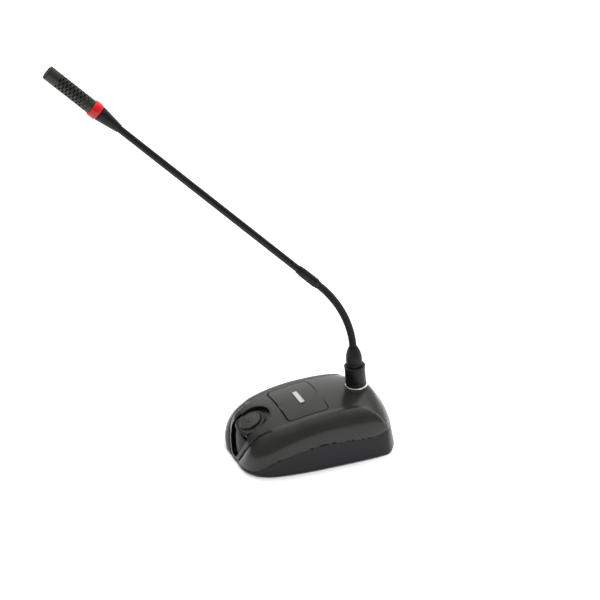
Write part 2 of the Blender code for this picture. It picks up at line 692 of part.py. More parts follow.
def neck_line():
    """The hinge points up the neck, from the boot to the sleeve, on one arc."""
    start = Vector(SEAT) + SEAT_AXIS * BOOT_TOP
    end_axis = head_axis()
    bend = SEAT_AXIS.angle(end_axis)
    towards = (end_axis - SEAT_AXIS * SEAT_AXIS.dot(end_axis)).normalized()
    radius = NECK_LENGTH / bend
    line = []
    for i in range(NECK_LINKS + 1):
        angle = bend * i / NECK_LINKS
        line.append(start + radius * (math.sin(angle) * SEAT_AXIS + (1.0 - math.cos(angle)) * towards))
    return line


def bend_axis():
    return SEAT_AXIS.cross(head_axis()).normalized()


def link_frame(index):
    """The frame of a link: on its lower hinge point, Z along the link, X along the bend axis."""
    line = neck_line()
    return frame_along(line[index], line[index + 1] - line[index], bend_axis())


def head_frame(distance=0.0):
    """The frame of the straight part, at a distance above the top of the neck."""
    return frame_along(neck_line()[-1] + head_axis() * distance, head_axis(), bend_axis())


def pin_places():
    return [(PIN_CIRCLE * math.cos(a), PIN_CIRCLE * math.sin(a)) for a in np.radians((-30.0, 90.0, 210.0))]


def add_plug(look_collar, look_insert, look_pin, look_boot):
    seat = frame_along(SEAT, SEAT_AXIS)
    collar = [(7.7, -12.6), (7.7, COLLAR_BOTTOM), (9.5, COLLAR_BOTTOM), (COLLAR_RADIUS, 3.6),
              (COLLAR_RADIUS, 18.2), (9.55, 18.6), (9.55, COLLAR_TOP), (6.9, COLLAR_TOP),
              (6.9, 13.0), (6.7, 13.0), (6.7, -12.6)]
    turned("plug_collar", collar, look_collar, seat, sides=26)
    insert = turned("plug_insert", disc_profile(6.4, -0.9, 6.0), look_insert, seat)
    for number, (x, y) in enumerate(pin_places(), 1):
        place = seat @ flat_frame(x, y)
        boolean(insert, turned(f"insert_hole_{number}", disc_profile(1.45, -3.0, 9.0), frame=place, sides=12))
        pin = [(0.0, -11.8), (0.6, -11.8), (PIN_RADIUS, -11.0), (PIN_RADIUS, 9.0), (0.0, 9.0)]
        turned(f"plug_pin_{number}", pin, look_pin, place, sides=12)
    taper = [(7.35 - 3.45 * t ** 2.6, 24.0 + (BOOT_TOP - 0.4 - 24.0) * t) for t in (0.0, 0.4, 0.65, 0.82, 0.93, 1.0)]
    boot = [(6.6, 14.0), (6.6, 23.4)] + taper + [(NECK_BORE + 0.2, BOOT_TOP - 0.4), (NECK_BORE + 0.2, 14.0)]
    turned("boot", boot, look_boot, seat)


def add_neck(look):
    """Ten short links. Each starts half a gap above its own hinge point."""
    length = (neck_line()[1] - neck_line()[0]).length
    low = LINK_GAP / 2
    high = length - LINK_GAP / 2
    edge = 0.5
    profile = [(NECK_RADIUS - edge, low), (NECK_RADIUS, low + edge), (NECK_RADIUS, high - edge),
               (NECK_RADIUS - edge, high), (NECK_BORE, high), (NECK_BORE, low)]
    first = turned("neck_link_01", profile, look, link_frame(0), sides=12)
    for index in range(1, NECK_LINKS):
        copy_of(first, f"neck_link_{index + 1:02d}", link_frame(index))


def add_tube(look_sleeve, look_tube, look_lead):
    place = head_frame()
    bottom = 0.3
    sleeve = [(3.75, bottom), (3.75, 2.6), (SLEEVE_RADIUS, 3.0), (SLEEVE_RADIUS, 20.6), (3.85, 21.2),
              (3.85, SLEEVE_LENGTH), (3.5, SLEEVE_LENGTH), (3.5, TUBE_BOTTOM - GAP), (2.0, TUBE_BOTTOM - GAP),
              (2.0, bottom)]
    turned("coupling_sleeve", sleeve, look_sleeve, place, sides=20)
    turned("rigid_tube", tube_profile(TUBE_RADIUS, TUBE_BORE, TUBE_BOTTOM, TUBE_TOP), look_tube, place, sides=20)
    turned("tube_lead", disc_profile(1.2, 11.0, 238.8), look_lead, place, sides=8)


def slotted_tube_mesh():
    """The head's wall, with rings of slots that are staggered from ring to ring."""
    step = 360.0 / SLOTS_PER_RING
    half = SLOT_ANGLE / 2

    def ring_angles(ring):
        shift = 0.0 if ring % 2 == 0 else step / 2
        return [shift + step * k + a for k in range(SLOTS_PER_RING) for a in (-half, half)]

    levels = [(HEAD_BOTTOM, ring_angles(0))]
    for ring in range(SLOT_RINGS):
        low = SLOTS_START + ring * SLOT_PITCH
        levels += [(low, ring_angles(ring)), (low + SLOT_HEIGHT, ring_angles(ring))]
    levels.append((HEAD_TOP, ring_angles(SLOT_RINGS - 1)))
    per_level = 2 * SLOTS_PER_RING
    points = []
    for radius in (HEAD_RADIUS, HEAD_RADIUS - HEAD_WALL):
        for height, angles in levels:
            points += [(radius * math.cos(math.radians(a)), radius * math.sin(math.radians(a)), height)
                       for a in angles]
    inside = per_level * len(levels)
    faces = []
    for k in range(len(levels) - 1):
        lower, upper = k * per_level, (k + 1) * per_level
        slotted = k % 2 == 1
        staggered = k % 2 == 0 and 0 < k < len(levels) - 2
        for i in range(per_level):
            j = (i + 1) % per_level
            a, b, c, d = lower + i, lower + j, upper + j, upper + i
            if slotted and i % 2 == 0:
                faces += [[a, b, b + inside, a + inside], [d, c, c + inside, d + inside]]
                continue
            if slotted:
                faces += [[a, b, c, d], [a + inside, b + inside, c + inside, d + inside]]
                faces += [[a, d, d + inside, a + inside], [b, c, c + inside, b + inside]]
                continue
            if staggered:
                continue
            faces += [[a, b, c, d], [a + inside, b + inside, c + inside, d + inside]]
        if staggered:
            for base in (0, inside):
                faces += stitched(lower + base, levels[k][1], upper + base, levels[k + 1][1])
    for k in (0, (len(levels) - 1) * per_level):
        for i in range(per_level):
            j = (i + 1) % per_level
            faces.append([k + i, k + j, k + j + inside, k + i + inside])
    return points, faces


def stitched(lower, low_angles, upper, high_angles):
    """Triangles between two rings of points that stand at different angles."""
    count = len(low_angles)
    start = min(range(count), key=lambda n: abs(high_angles[n] - low_angles[0] + 360.0 * (n > count // 2)))
    low = [low_angles[i % count] + 360.0 * (i // count) for i in range(count + 1)]
    high = [high_angles[(start + i) % count] + 360.0 * ((start + i) // count) for i in range(count + 1)]
    i = j = 0
    faces = []
    while i < count or j < count:
        a, b = lower + i % count, upper + (start + j) % count
        if j == count or (i < count and low[i + 1] <= high[j + 1]):
            faces.append([a, lower + (i + 1) % count, b])
            i += 1
        else:
            faces.append([a, upper + (start + j + 1) % count, b])
            j += 1
    return faces


def add_head(looks):
    place = head_frame()
    cone = [(3.75, CONE_BOTTOM), (3.75, CONE_BOTTOM + 1.0), (6.6, CONE_TOP - 1.2), (6.6, CONE_TOP), (5.5, CONE_TOP),
            (5.5, 239.0), (3.5, 232.5), (3.5, CONE_BOTTOM)]
    turned("head_cone", cone, looks["body"], place)
    middle = (RING_BOTTOM + RING_TOP) / 2
    half = (RING_TOP - RING_BOTTOM) / 2
    bulge = [(RING_RADIUS - 0.75 + 0.75 * math.cos(a) ** 0.5, middle - half * math.sin(a))
             for a in np.radians(np.linspace(89.9, -89.9, 7))]
    turned("light_ring", bulge + [(5.6, RING_TOP), (5.6, RING_BOTTOM)], looks["ring"], place)
    board = turned("led_board", tube_profile(5.2, 1.9, 241.2, 242.4), looks["board"], place, sides=24)
    for number, angle in enumerate(range(0, 360, 90), 1):
        turn = Matrix.Rotation(math.radians(angle), 4, "Z")
        led = extruded(f"led_{number}", rounded_rectangle(2.6, 4.6, -0.9, 0.9, 0.2, 1), 241.8, 243.6,
                       frame=place @ turn)
        boolean(board, led, "UNION")
    holder = [(5.2, 244.0), (5.2, 262.0), (2.0, 262.0), (2.0, 244.0)]
    turned("capsule_holder", holder, looks["insulator"], place, sides=24)
    capsule = [(0.0, 262.3), (4.7, 262.3), (4.7, 269.3), (4.3, 269.8), (0.0, 269.8)]
    turned("capsule", capsule, looks["bright"], place, sides=24)
    turned("head_screen", tube_profile(5.45, 5.25, 263.0, 296.0), looks["screen"], place, sides=24)
    points, faces = slotted_tube_mesh()
    add_object("head_tube", points, faces, looks["head"], place)
    cap = [(0.0, HEAD_TOP - 2.2), (5.4, HEAD_TOP - 2.2), (5.4, HEAD_TOP + GAP), (HEAD_RADIUS, HEAD_TOP + GAP),
           (HEAD_RADIUS, HEAD_TOP + 0.9), (5.9, HEAD_TOP + 1.3), (5.0, HEAD_TOP + 1.3), (4.6, HEAD_TOP + 0.7),
           (0.0, HEAD_TOP + 0.7)]
    turned("end_cap", cap, looks["head"], place)


# ---------------------------------------------------------------- assembly

def build():
    clear_scene()
    gloss = material("gloss_black_plastic", (0.012, 0.012, 0.013), 0.16)
    satin = material("satin_black_plastic", (0.018, 0.018, 0.020), 0.34)
    fascia = material("fascia_black", (0.004, 0.004, 0.005), 0.08)
    rubber = material("black_rubber", (0.020, 0.020, 0.020), 0.75)
    steel = material("zinc_plated_steel", (0.45, 0.45, 0.44), 0.38, 1.0)
    chrome = material("bright_chrome", (0.75, 0.75, 0.76), 0.10, 1.0)
    board = material("green_board", (0.015, 0.12, 0.045), 0.45)
    chip = material("black_component", (0.015, 0.015, 0.016), 0.5)
    badge = material("silver_badge", (0.70, 0.70, 0.70), 0.35, 0.6)
    lens = material("frosted_lens", (0.45, 0.46, 0.46), 0.25)
    black_metal = material("satin_black_metal", (0.022, 0.022, 0.024), 0.32, 0.4)
    head_metal = material("dark_head_metal", (0.045, 0.047, 0.045), 0.36, 0.8)
    insulator = material("grey_insulator", (0.08, 0.08, 0.085), 0.55)
    gold = material("plated_contact", (0.75, 0.55, 0.22), 0.22, 1.0)
    screen = material("fine_screen", (0.06, 0.06, 0.06), 0.5, 0.8)
    ring = material("red_light_ring", (0.80, 0.012, 0.016), 0.22, transmission=0.35)

    add_top_shell(gloss)
    add_lower_housing(satin)
    add_feet_and_screws(rubber, steel)
    add_ballast_and_board(steel, board, chip, steel, steel)
    add_control_plate(gloss)
    tip = add_button(gloss, lens, insulator)
    add_switch(tip, chip, board, steel)
    add_fascia(fascia)
    add_name_panel(gloss, badge)
    add_socket(chrome, insulator, steel)
    add_output_jack(chip, chrome)
    add_plug(black_metal, insulator, gold, rubber)
    add_neck(black_metal)
    add_tube(black_metal, black_metal, rubber)
    add_head({"body": black_metal, "ring": ring, "board": board, "insulator": insulator,
              "bright": steel, "screen": screen, "head": head_metal})


build()
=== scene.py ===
"""The looks of a gooseneck podium microphone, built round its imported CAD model.

Each visible CAD solid is replaced by a finer mesh of the same shape and size, or keeps its shape and gets a
better material. Lengths below are in millimetres and angles in degrees; the meshes are in metres.
"""

import json
import math

import bmesh
import bpy
import numpy as np
from mathutils import Matrix, Vector
from mathutils.bvhtree import BVHTree
from mathutils.interpolate import poly_3d_calc

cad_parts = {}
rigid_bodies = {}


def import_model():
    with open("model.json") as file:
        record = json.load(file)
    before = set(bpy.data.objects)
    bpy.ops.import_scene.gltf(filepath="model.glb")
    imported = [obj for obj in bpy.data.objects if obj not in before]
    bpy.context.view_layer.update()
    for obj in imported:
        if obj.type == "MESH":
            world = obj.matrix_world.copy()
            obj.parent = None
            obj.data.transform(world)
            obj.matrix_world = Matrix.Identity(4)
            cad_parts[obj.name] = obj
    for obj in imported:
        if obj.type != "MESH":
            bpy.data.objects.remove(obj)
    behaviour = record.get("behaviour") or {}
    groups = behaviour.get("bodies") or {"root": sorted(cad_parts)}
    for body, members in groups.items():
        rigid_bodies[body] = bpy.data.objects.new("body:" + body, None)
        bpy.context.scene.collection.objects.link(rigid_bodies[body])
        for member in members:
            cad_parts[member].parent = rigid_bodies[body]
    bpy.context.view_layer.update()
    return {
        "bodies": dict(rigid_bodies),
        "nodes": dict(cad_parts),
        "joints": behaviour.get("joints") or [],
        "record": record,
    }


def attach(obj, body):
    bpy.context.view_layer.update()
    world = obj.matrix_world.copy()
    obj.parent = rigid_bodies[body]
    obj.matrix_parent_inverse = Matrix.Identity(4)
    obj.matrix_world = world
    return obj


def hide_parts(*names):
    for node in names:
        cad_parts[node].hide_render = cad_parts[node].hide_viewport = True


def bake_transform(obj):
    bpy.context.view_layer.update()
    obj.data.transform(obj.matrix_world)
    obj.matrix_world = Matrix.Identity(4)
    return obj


for item in list(bpy.data.objects):
    bpy.data.objects.remove(item, do_unlink=True)
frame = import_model()

MM = 0.001
GAP = 0.3  # clearance between neighbouring pieces
ROUND = 72  # sides of a turned piece

# Base: the shell's lower edge is the parting line, and the housing's skirt flares out below it.
FOOT_DROP = 1.2  # the feet hold the housing this far off the table
BASE_HALF_WIDTH = 44.0
BASE_FRONT = 72.0
SKIRT_FLARE = 0.105
REAR_FLARE = 0.075  # added at the rear, in proportion to how squarely the skirt faces it
WALL = 2.2
FLOOR_TOP = 3.8
GROOVE_DEPTH = 1.7  # step between the deck's rim and the lobe at the front

# Cross sections of the shell from the front tip to the rear: the deck's middle (y, z), the deck's
# edge (x, y, z), and the parting line (x, y, z) at the foot of the lobe.
STATIONS = (
    ((-72.0, 2.9), (7.0, -71.5, 3.0), (9.5, -71.8, 2.7)),
    ((-71.6, 10.0), (12.8, -70.6, 9.5), (18.7, -71.6, 2.8)),
    ((-70.6, 19.0), (18.0, -68.6, 18.5), (27.0, -69.2, 3.0)),
    ((-68.3, 27.0), (22.0, -65.9, 26.0), (34.2, -64.4, 4.2)),
    ((-64.0, 32.8), (24.2, -61.6, 31.8), (38.6, -57.8, 8.4)),
    ((-56.0, 38.0), (26.2, -54.5, 36.0), (41.2, -49.8, 13.2)),
    ((-44.0, 42.8), (28.6, -43.0, 40.3), (42.7, -39.0, 17.0)),
    ((-27.0, 47.0), (30.0, -26.7, 44.2), (43.6, -26.0, 20.1)),
    ((-10.0, 50.0), (30.5, -10.0, 47.0), (44.0, -11.0, 22.8)),
    ((7.0, 51.2), (30.5, 7.0, 48.5), (44.0, 5.0, 23.3)),
    ((24.0, 51.4), (30.8, 24.0, 48.6), (44.0, 22.0, 22.0)),
    ((38.0, 51.0), (32.0, 38.0, 47.0), (43.7, 38.0, 20.8)),
    ((47.0, 51.5), (33.8, 45.0, 44.0), (43.1, 47.0, 21.0)),
    ((55.0, 51.6), (36.0, 50.2, 39.1), (42.4, 52.5, 22.2)),
    ((61.8, 44.0), (38.0, 54.6, 33.6), (41.6, 56.0, 23.0)),
    ((67.2, 34.5), (38.8, 58.2, 28.8), (40.2, 59.2, 23.8)),
    ((71.0, 24.4), (37.0, 61.6, 24.6), (37.6, 61.9, 24.3)),
)
ROWS_PER_STATION = 7
DECK_COLUMNS = 28
LOBE_COLUMNS = 16
FRONT_GROOVE_STATIONS = 5.6  # the rim groove runs out at this station
LOBE_SWELL = (0.0, 1.4, 2.6, 3.2, 3.0, 2.4, 1.7, 1.0, 0.4, 0.0)  # the lobes' fullness, by station

# Control plate: a round dish and a tongue, in a plane tilted towards the user.
DISH_CENTRE = (0.0, -52.5, 36.7)
DISH_TILT = 25.0
DISH_RADIUS = 16.5
DISH_RIM = 0.9
DISH_STEPS = 72
MOAT_DEPTH = 3.0
PLATE_THICKNESS = 4.2
TONGUE_HALF_WIDTH = 13.5
TONGUE_FRONT = 19.0
LIP_THICKNESS = 1.5
BUTTON_OFFSET = -3.7  # the button sits in front of the dish's centre
BUTTON_RADIUS = 9.7
BUTTON_HEIGHT = 1.7
BUTTON_DOME = 0.6

# Opening in the shell's front, as half widths at heights, and the fascia behind it.
FRONT_OPENING = ((0.0, 4.4), (4.2, 5.2), (7.5, 8.5), (11.2, 14.0), (14.8, 20.5), (17.0, 27.0), (16.2, 33.0),
                 (16.0, 60.0))
FRONT_OPENING_REAR = -58.5
FASCIA_SETBACK = 2.7
FASCIA_THICKNESS = 1.6

# Name panel and badge in the deck.
PANEL_HALF_WIDTH = 27.5
PANEL_FRONT = -30.0
PANEL_REAR = 8.0
PANEL_CORNER = 4.5
PANEL_THICKNESS = 1.0
BADGE_SIZE = (20.0, 4.4, 0.5)
BADGE_Y = -10.3

# Gooseneck line: it leaves the seat almost upright, then bends to one side of the centre.
SEAT = (0.0, 45.6, 51.7)
SEAT_TILT = 5.3
SWING = 20.3
RISE = 41.5
COLLAR_BOTTOM = 1.5
COLLAR_TOP = 20.4
BOOT_TOP = 39.6
NECK_LENGTH = 70.0
NECK_LINKS = 10
NECK_RADIUS = 3.45

# Straight part, measured from the top of the neck.
SLEEVE_LENGTH = 24.0
SLEEVE_RADIUS = 4.25
TUBE_RADIUS = 3.2
TUBE_BORE = 2.6
TUBE_BOTTOM = 9.0
TUBE_TOP = 229.5
CONE_BOTTOM = 223.8
CONE_TOP = 245.6
RING_BOTTOM = 245.9
RING_TOP = 253.7
RING_RADIUS = 7.6
HEAD_BOTTOM = 254.0
HEAD_TOP = 299.4
HEAD_RADIUS = 6.35
HEAD_WALL = 0.6
SLOT_RINGS = 18
SLOTS_PER_RING = 6
SLOT_ANGLE = 32.0
SLOT_PITCH = 1.83
SLOT_HEIGHT = 1.05
SLOTS_START = 257.0

# Places of the repeated pieces in the base.
FOOT_PLACES = ((-31.0, -50.0), (31.0, -50.0), (-33.0, 52.0), (33.0, 52.0))
SCREW_PLACES = ((-22.0, -44.0), (22.0, -44.0), (-24.0, 38.0), (24.0, 38.0))
JACK_HEIGHT = 12.6
JACK_FACE = 71.5  # floor of the round recess that the jack is mounted in


# ---- helpers
def frame_along(origin, direction, side=(1.0, 0.0, 0.0)):
    """A frame at origin (mm) with local Z along direction and local X close to side."""
    z = Vector(direction).normalized()
    y = z.cross(Vector(side)).normalized()
    x = y.cross(z)
    turn = Matrix((x, y, z)).transposed().to_4x4()
    return Matrix.Translation(Vector(origin) * MM) @ turn


def flat_frame(x=0.0, y=0.0, z=0.0):
    return Matrix.Translation(Vector((x, y, z)) * MM)


def add_object(name, points, faces, look=None, frame=None, smooth_angle=35.0):
    """An object from points in millimetres, with its faces turned outward."""
    mesh = bpy.data.meshes.new(name)
    mesh.from_pydata([tuple(float(c) * MM for c in p) for p in points], [], faces)
    work = bmesh.new()
    work.from_mesh(mesh)
    bmesh.ops.recalc_face_normals(work, faces=work.faces)
    work.to_mesh(mesh)
    work.free()
    mesh.shade_smooth()
    mesh.set_sharp_from_angle(angle=math.radians(smooth_angle))
    made = bpy.data.objects.new(name, mesh)
    bpy.context.scene.collection.objects.link(made)
    made.matrix_world = frame or Matrix.Identity(4)
    if look:
        mesh.materials.append(look)
    return made


def turned(name, profile, look=None, frame=None, sides=ROUND):
    """A piece turned about local Z from a closed profile of (radius, height)."""
    points = []
    rings = []
    for radius, height in profile:
        if radius <= 0.0:
            rings.append([len(points)] * sides)
            points.append((0.0, 0.0, height))
            continue
        rings.append([len(points) + i for i in range(sides)])
        for i in range(sides):
            angle = math.tau * i / sides
            points.append((radius * math.cos(angle), radius * math.sin(angle), height))
    faces = []
    for k, ring in enumerate(rings):
        above = rings[(k + 1) % len(rings)]
        for i in range(sides):
            j = (i + 1) % sides
            corners = list(dict.fromkeys((ring[i], ring[j], above[j], above[i])))
            if len(corners) > 2:
                faces.append(corners)
    return add_object(name, points, faces, look, frame)


def disc_profile(radius, bottom, top):
    return [(0.0, bottom), (radius, bottom), (radius, top), (0.0, top)]


def extruded(name, outline, bottom, top, look=None, frame=None):
    """A prism on a closed outline of (x, y), between two local heights."""
    count = len(outline)
    points = [(x, y, bottom) for x, y in outline] + [(x, y, top) for x, y in outline]
    faces = [list(range(count)), list(range(count, 2 * count))]
    for i in range(count):
        j = (i + 1) % count
        faces.append([i, j, count + j, count + i])
    return add_object(name, points, faces, look, frame)


def arc(centre, radius, start, end, steps):
    """Points on an arc, both ends included, with angles in degrees."""
    angles = np.radians(np.linspace(start, end, steps + 1))
    return [(centre[0] + radius * math.cos(a), centre[1] + radius * math.sin(a)) for a in angles]


def rounded_rectangle(x0, x1, y0, y1, radius, steps=5):
    corners = ((x1 - radius, y0 + radius, -90), (x1 - radius, y1 - radius, 0),
               (x0 + radius, y1 - radius, 90), (x0 + radius, y0 + radius, 180))
    outline = []
    for x, y, start in corners:
        outline += arc((x, y), radius, start, start + 90, steps)
    return outline


def boolean(target, tool, operation="DIFFERENCE"):
    """Adds a Boolean to target and hides the tool, which stays as a guide."""
    step = target.modifiers.new(tool.name, "BOOLEAN")
    step.operation = operation
    step.solver = "EXACT"
    step.object = tool
    tool.hide_render = True
    tool.display_type = "WIRE"
    return target


def spline(points, per_span):
    """A smooth curve through the points (Catmull-Rom), per_span samples for each span."""
    path = np.array(points, float)
    ends = np.vstack((2 * path[0] - path[1], path, 2 * path[-1] - path[-2]))
    samples = []
    for i in range(len(path) - 1):
        a, b, c, d = ends[i:i + 4]
        for k in range(per_span):
            t = k / per_span
            samples.append(0.5 * (2 * b + (c - a) * t + (2 * a - 5 * b + 4 * c - d) * t ** 2
                                  + (3 * b - a - 3 * c + d) * t ** 3))
    samples.append(path[-1])
    return np.array(samples)


# ---------------------------------------------------------------- shell surface

DECK_MIDDLE = spline([s[0] for s in STATIONS], ROWS_PER_STATION)
DECK_EDGE = spline([s[1] for s in STATIONS], ROWS_PER_STATION)
PARTING = spline([s[2] for s in STATIONS], ROWS_PER_STATION)


def deck_height(x, y):
    """Height of the deck's surface, for the part of it between the front face and the seat."""
    middle = np.interp(y, DECK_MIDDLE[:, 0], DECK_MIDDLE[:, 1])
    edge = np.interp(y, DECK_EDGE[:, 1], DECK_EDGE[:, 2])
    half = np.interp(y, DECK_EDGE[:, 1], DECK_EDGE[:, 0])
    return float(middle + (edge - middle) * (x / half) ** 2)


def deck_row(row):
    """Points across the deck from its -X edge to its +X edge, at one row."""
    y_middle, z_middle = DECK_MIDDLE[row]
    x_edge, y_edge, z_edge = DECK_EDGE[row]
    rearness = max(0.0, row / (len(DECK_MIDDLE) - 1) * 4.0 - 3.0)
    power = 2.0 + 0.8 * rearness
    across = []
    for u in np.linspace(-1.0, 1.0, DECK_COLUMNS + 1):
        y = y_middle + (y_edge - y_middle) * abs(u) ** power
        z = z_middle + (z_edge - z_middle) * abs(u) ** power
        across.append((u * x_edge, y, z))
    return across


def lobe_row(row, groove):
    """Points down the +X lobe from beside the deck's edge to the parting line, at one row."""
    edge = DECK_EDGE[row]
    foot = PARTING[row]
    fade = max(0.0, 1.0 - row / (FRONT_GROOVE_STATIONS * ROWS_PER_STATION)) ** 0.5
    inward = np.array((-edge[0], -0.45 * edge[1], 12.0 - edge[2]))
    inward /= np.linalg.norm(inward)
    start = edge + inward * groove * min(1.0, 1.6 * fade) * min(1.0, row / 2.0)
    lean = edge - foot
    side = lean * (1.0, 1.0, 0.0)
    rise = lean * (0.0, 0.0, 1.0)
    swell = np.interp(row / ROWS_PER_STATION, range(len(LOBE_SWELL)), LOBE_SWELL)
    swell = outline_normals(foot[None])[0] * swell
    low = foot - 0.2 * side + 0.48 * rise + swell
    high = start - 0.8 * side + 0.03 * rise + swell
    down = []
    for t in np.linspace(0.0, 1.0, LOBE_COLUMNS + 1):
        s = 1.0 - t
        down.append(s ** 3 * start + 3 * s * s * t * high + 3 * s * t * t * low + t ** 3 * foot)
    return [tuple(p) for p in down]


def skin(groove):
    """The shell's outer surface as rows of points, from one parting line over to the other."""
    rows = []
    for row in range(len(DECK_MIDDLE)):
        deck = deck_row(row)
        lobe = lobe_row(row, groove)
        mirrored = [(-x, y, z) for x, y, z in reversed(lobe)]
        if groove == 0.0:
            mirrored.pop()
            lobe = lobe[1:]
            mirrored.append(deck[0])
            lobe.insert(0, deck[-1])
        rows.append(mirrored + deck + lobe)
    return np.array(rows)


def offset_inward(grid, distance):
    """The grid moved inward along its own normals."""
    along = np.gradient(grid, axis=0)
    across = np.gradient(grid, axis=1)
    for k in range(1, grid.shape[1] - 1):
        across[:, k] = grid[:, min(k + 2, grid.shape[1] - 1)] - grid[:, max(k - 2, 0)]
    normal = np.cross(along, across)
    normal /= np.linalg.norm(normal, axis=2, keepdims=True)
    centre = grid.mean(axis=(0, 1))
    outward = np.sign(((grid - centre) * normal).sum())
    return grid - outward * normal * distance


def sheet_faces(rows, columns, start):
    faces = []
    for i in range(rows - 1):
        for j in range(columns - 1):
            a = start + i * columns + j
            faces.append([a, a + 1, a + columns + 1, a + columns])
    return faces


def border(rows, columns):
    """Indices round the edge of a grid of points."""
    front = list(range(columns))
    right = [i * columns + columns - 1 for i in range(1, rows)]
    back = [(rows - 1) * columns + j for j in range(columns - 2, -1, -1)]
    left = [i * columns for i in range(rows - 2, 0, -1)]
    return front + right + back + left


def shell_object(look):
    outer = skin(GROOVE_DEPTH)
    inner = offset_inward(skin(0.0), WALL)
    rows, columns = outer.shape[:2]
    count = rows * columns
    outer = outer.reshape(-1, 3)
    inner = inner.reshape(-1, 3)
    rim = border(rows, columns)
    inner[rim, 2] = np.maximum(inner[rim, 2], outer[rim, 2])
    points = np.vstack((outer, inner))
    faces = sheet_faces(rows, columns, 0) + sheet_faces(rows, columns, count)
    for a, b in zip(rim, rim[1:] + rim[:1]):
        faces.append([a, b, count + b, count + a])
    return add_object("top_shell", points, faces, look, smooth_angle=28.0)


def envelope(name):
    """The closed volume under the shell's outer surface, used to trim pieces flush with it."""
    outer = skin(0.0)
    rows, columns = outer.shape[:2]
    points = list(map(tuple, outer.reshape(-1, 3))) + [(0.0, 0.0, 6.0)]
    faces = sheet_faces(rows, columns, 0)
    rim = border(rows, columns)
    for a, b in zip(rim, rim[1:] + rim[:1]):
        faces.append([a, b, len(points) - 1])
    return add_object(name, points, faces)


def outline_normals(loop):
    """Outward directions, level with the table, at the points of the base's outline."""
    steep = np.stack([(loop[:, 0] / BASE_HALF_WIDTH) ** 3 / BASE_HALF_WIDTH,
                      (loop[:, 1] / BASE_FRONT) ** 3 / BASE_FRONT, 0.0 * loop[:, 0]], axis=1)
    return steep / np.linalg.norm(steep, axis=1, keepdims=True)


def housing_object(look):
    """A tub: skirt, floor and inner wall, lofted from rings below the shell's lower edge."""
    outer = skin(0.0)
    loop = outer.reshape(-1, 3)[border(*outer.shape[:2])]
    out = outline_normals(loop)
    height = loop[:, 2] - FOOT_DROP

    def ring(reach, heights):
        moved = loop + out * np.reshape(reach, (-1, 1))
        moved[:, 2] = heights
        return moved

    flare = (SKIRT_FLARE + REAR_FLARE * np.maximum(out[:, 1], 0.0)) * height
    lip = loop[:, 2] - GAP
    rings = [
        ring(0.0, lip),
        ring(flare, FOOT_DROP + 0.5),
        ring(flare - 0.4, FOOT_DROP),
        ring(-WALL - 2.2, FLOOR_TOP),
        ring(-WALL - 1.4, np.maximum(lip - 1.3, FOOT_DROP + 0.8)),
    ]
    count = len(loop)
    points = np.vstack(rings)
    faces = []
    for a, b in ((0, 1), (1, 2), (3, 4), (4, 0)):
        for i in range(count):
            j = (i + 1) % count
            faces.append([a * count + i, a * count + j, b * count + j, b * count + i])
    faces.append([2 * count + i for i in range(count)])
    faces.append([3 * count + i for i in range(count)])
    return add_object("lower_housing", points, faces, look)


def dish_frame():
    tilt = math.radians(DISH_TILT)
    return frame_along(DISH_CENTRE, (0.0, -math.sin(tilt), math.cos(tilt)))


def button_frame(height=0.0):
    return dish_frame() @ flat_frame(0.0, BUTTON_OFFSET, height)


def plate_outline(grow):
    """The dish's circle with the tongue in front of it, in the dish's plane."""
    radius = DISH_RADIUS + grow
    half = TONGUE_HALF_WIDTH + grow
    meet = math.acos(half / radius)
    corner = (radius * math.cos(meet), -radius * math.sin(meet))
    outline = [corner] + arc((0.0, 0.0), radius, -24.0, 204.0, DISH_STEPS) + [(-corner[0], corner[1])]
    bow = 5.0
    bow_radius = (half ** 2 + bow ** 2) / (2 * bow)
    spread = math.degrees(math.asin(half / bow_radius))
    centre = (0.0, -TONGUE_FRONT - grow + bow_radius)
    return outline + arc(centre, bow_radius, -90.0 - spread, -90.0 + spread, 8)


def moat_outline():
    """The crescent between the button's platform and the dish's wall."""
    outer = arc((0.0, 0.0), DISH_RADIUS - DISH_RIM, -24.0, 204.0, DISH_STEPS)
    return outer + arc((0.0, BUTTON_OFFSET), TONGUE_HALF_WIDTH, 184.0, -4.0, 18)


SEAT_AXIS = Vector((0.0, -math.sin(math.radians(SEAT_TILT)), math.cos(math.radians(SEAT_TILT))))


def head_axis():
    swing, rise = math.radians(SWING), math.radians(RISE)
    return Vector((-math.sin(swing) * math.cos(rise), -math.cos(swing) * math.cos(rise), math.sin(rise)))


def neck_line():
    """The hinge points up the neck, from the boot to the sleeve, on one arc."""
    start = Vector(SEAT) + SEAT_AXIS * BOOT_TOP
    end_axis = head_axis()
    bend = SEAT_AXIS.angle(end_axis)
    towards = (end_axis - SEAT_AXIS * SEAT_AXIS.dot(end_axis)).normalized()
    radius = NECK_LENGTH / bend
    line = []
    for i in range(NECK_LINKS + 1):
        angle = bend * i / NECK_LINKS
        line.append(start + radius * (math.sin(angle) * SEAT_AXIS + (1.0 - math.cos(angle)) * towards))
    return line


def bend_axis():
    return SEAT_AXIS.cross(head_axis()).normalized()


def head_frame(distance=0.0):
    """The frame of the straight part, at a distance above the top of the neck."""
    return frame_along(neck_line()[-1] + head_axis() * distance, head_axis(), bend_axis())


# ---------------------------------------------------------------- materials

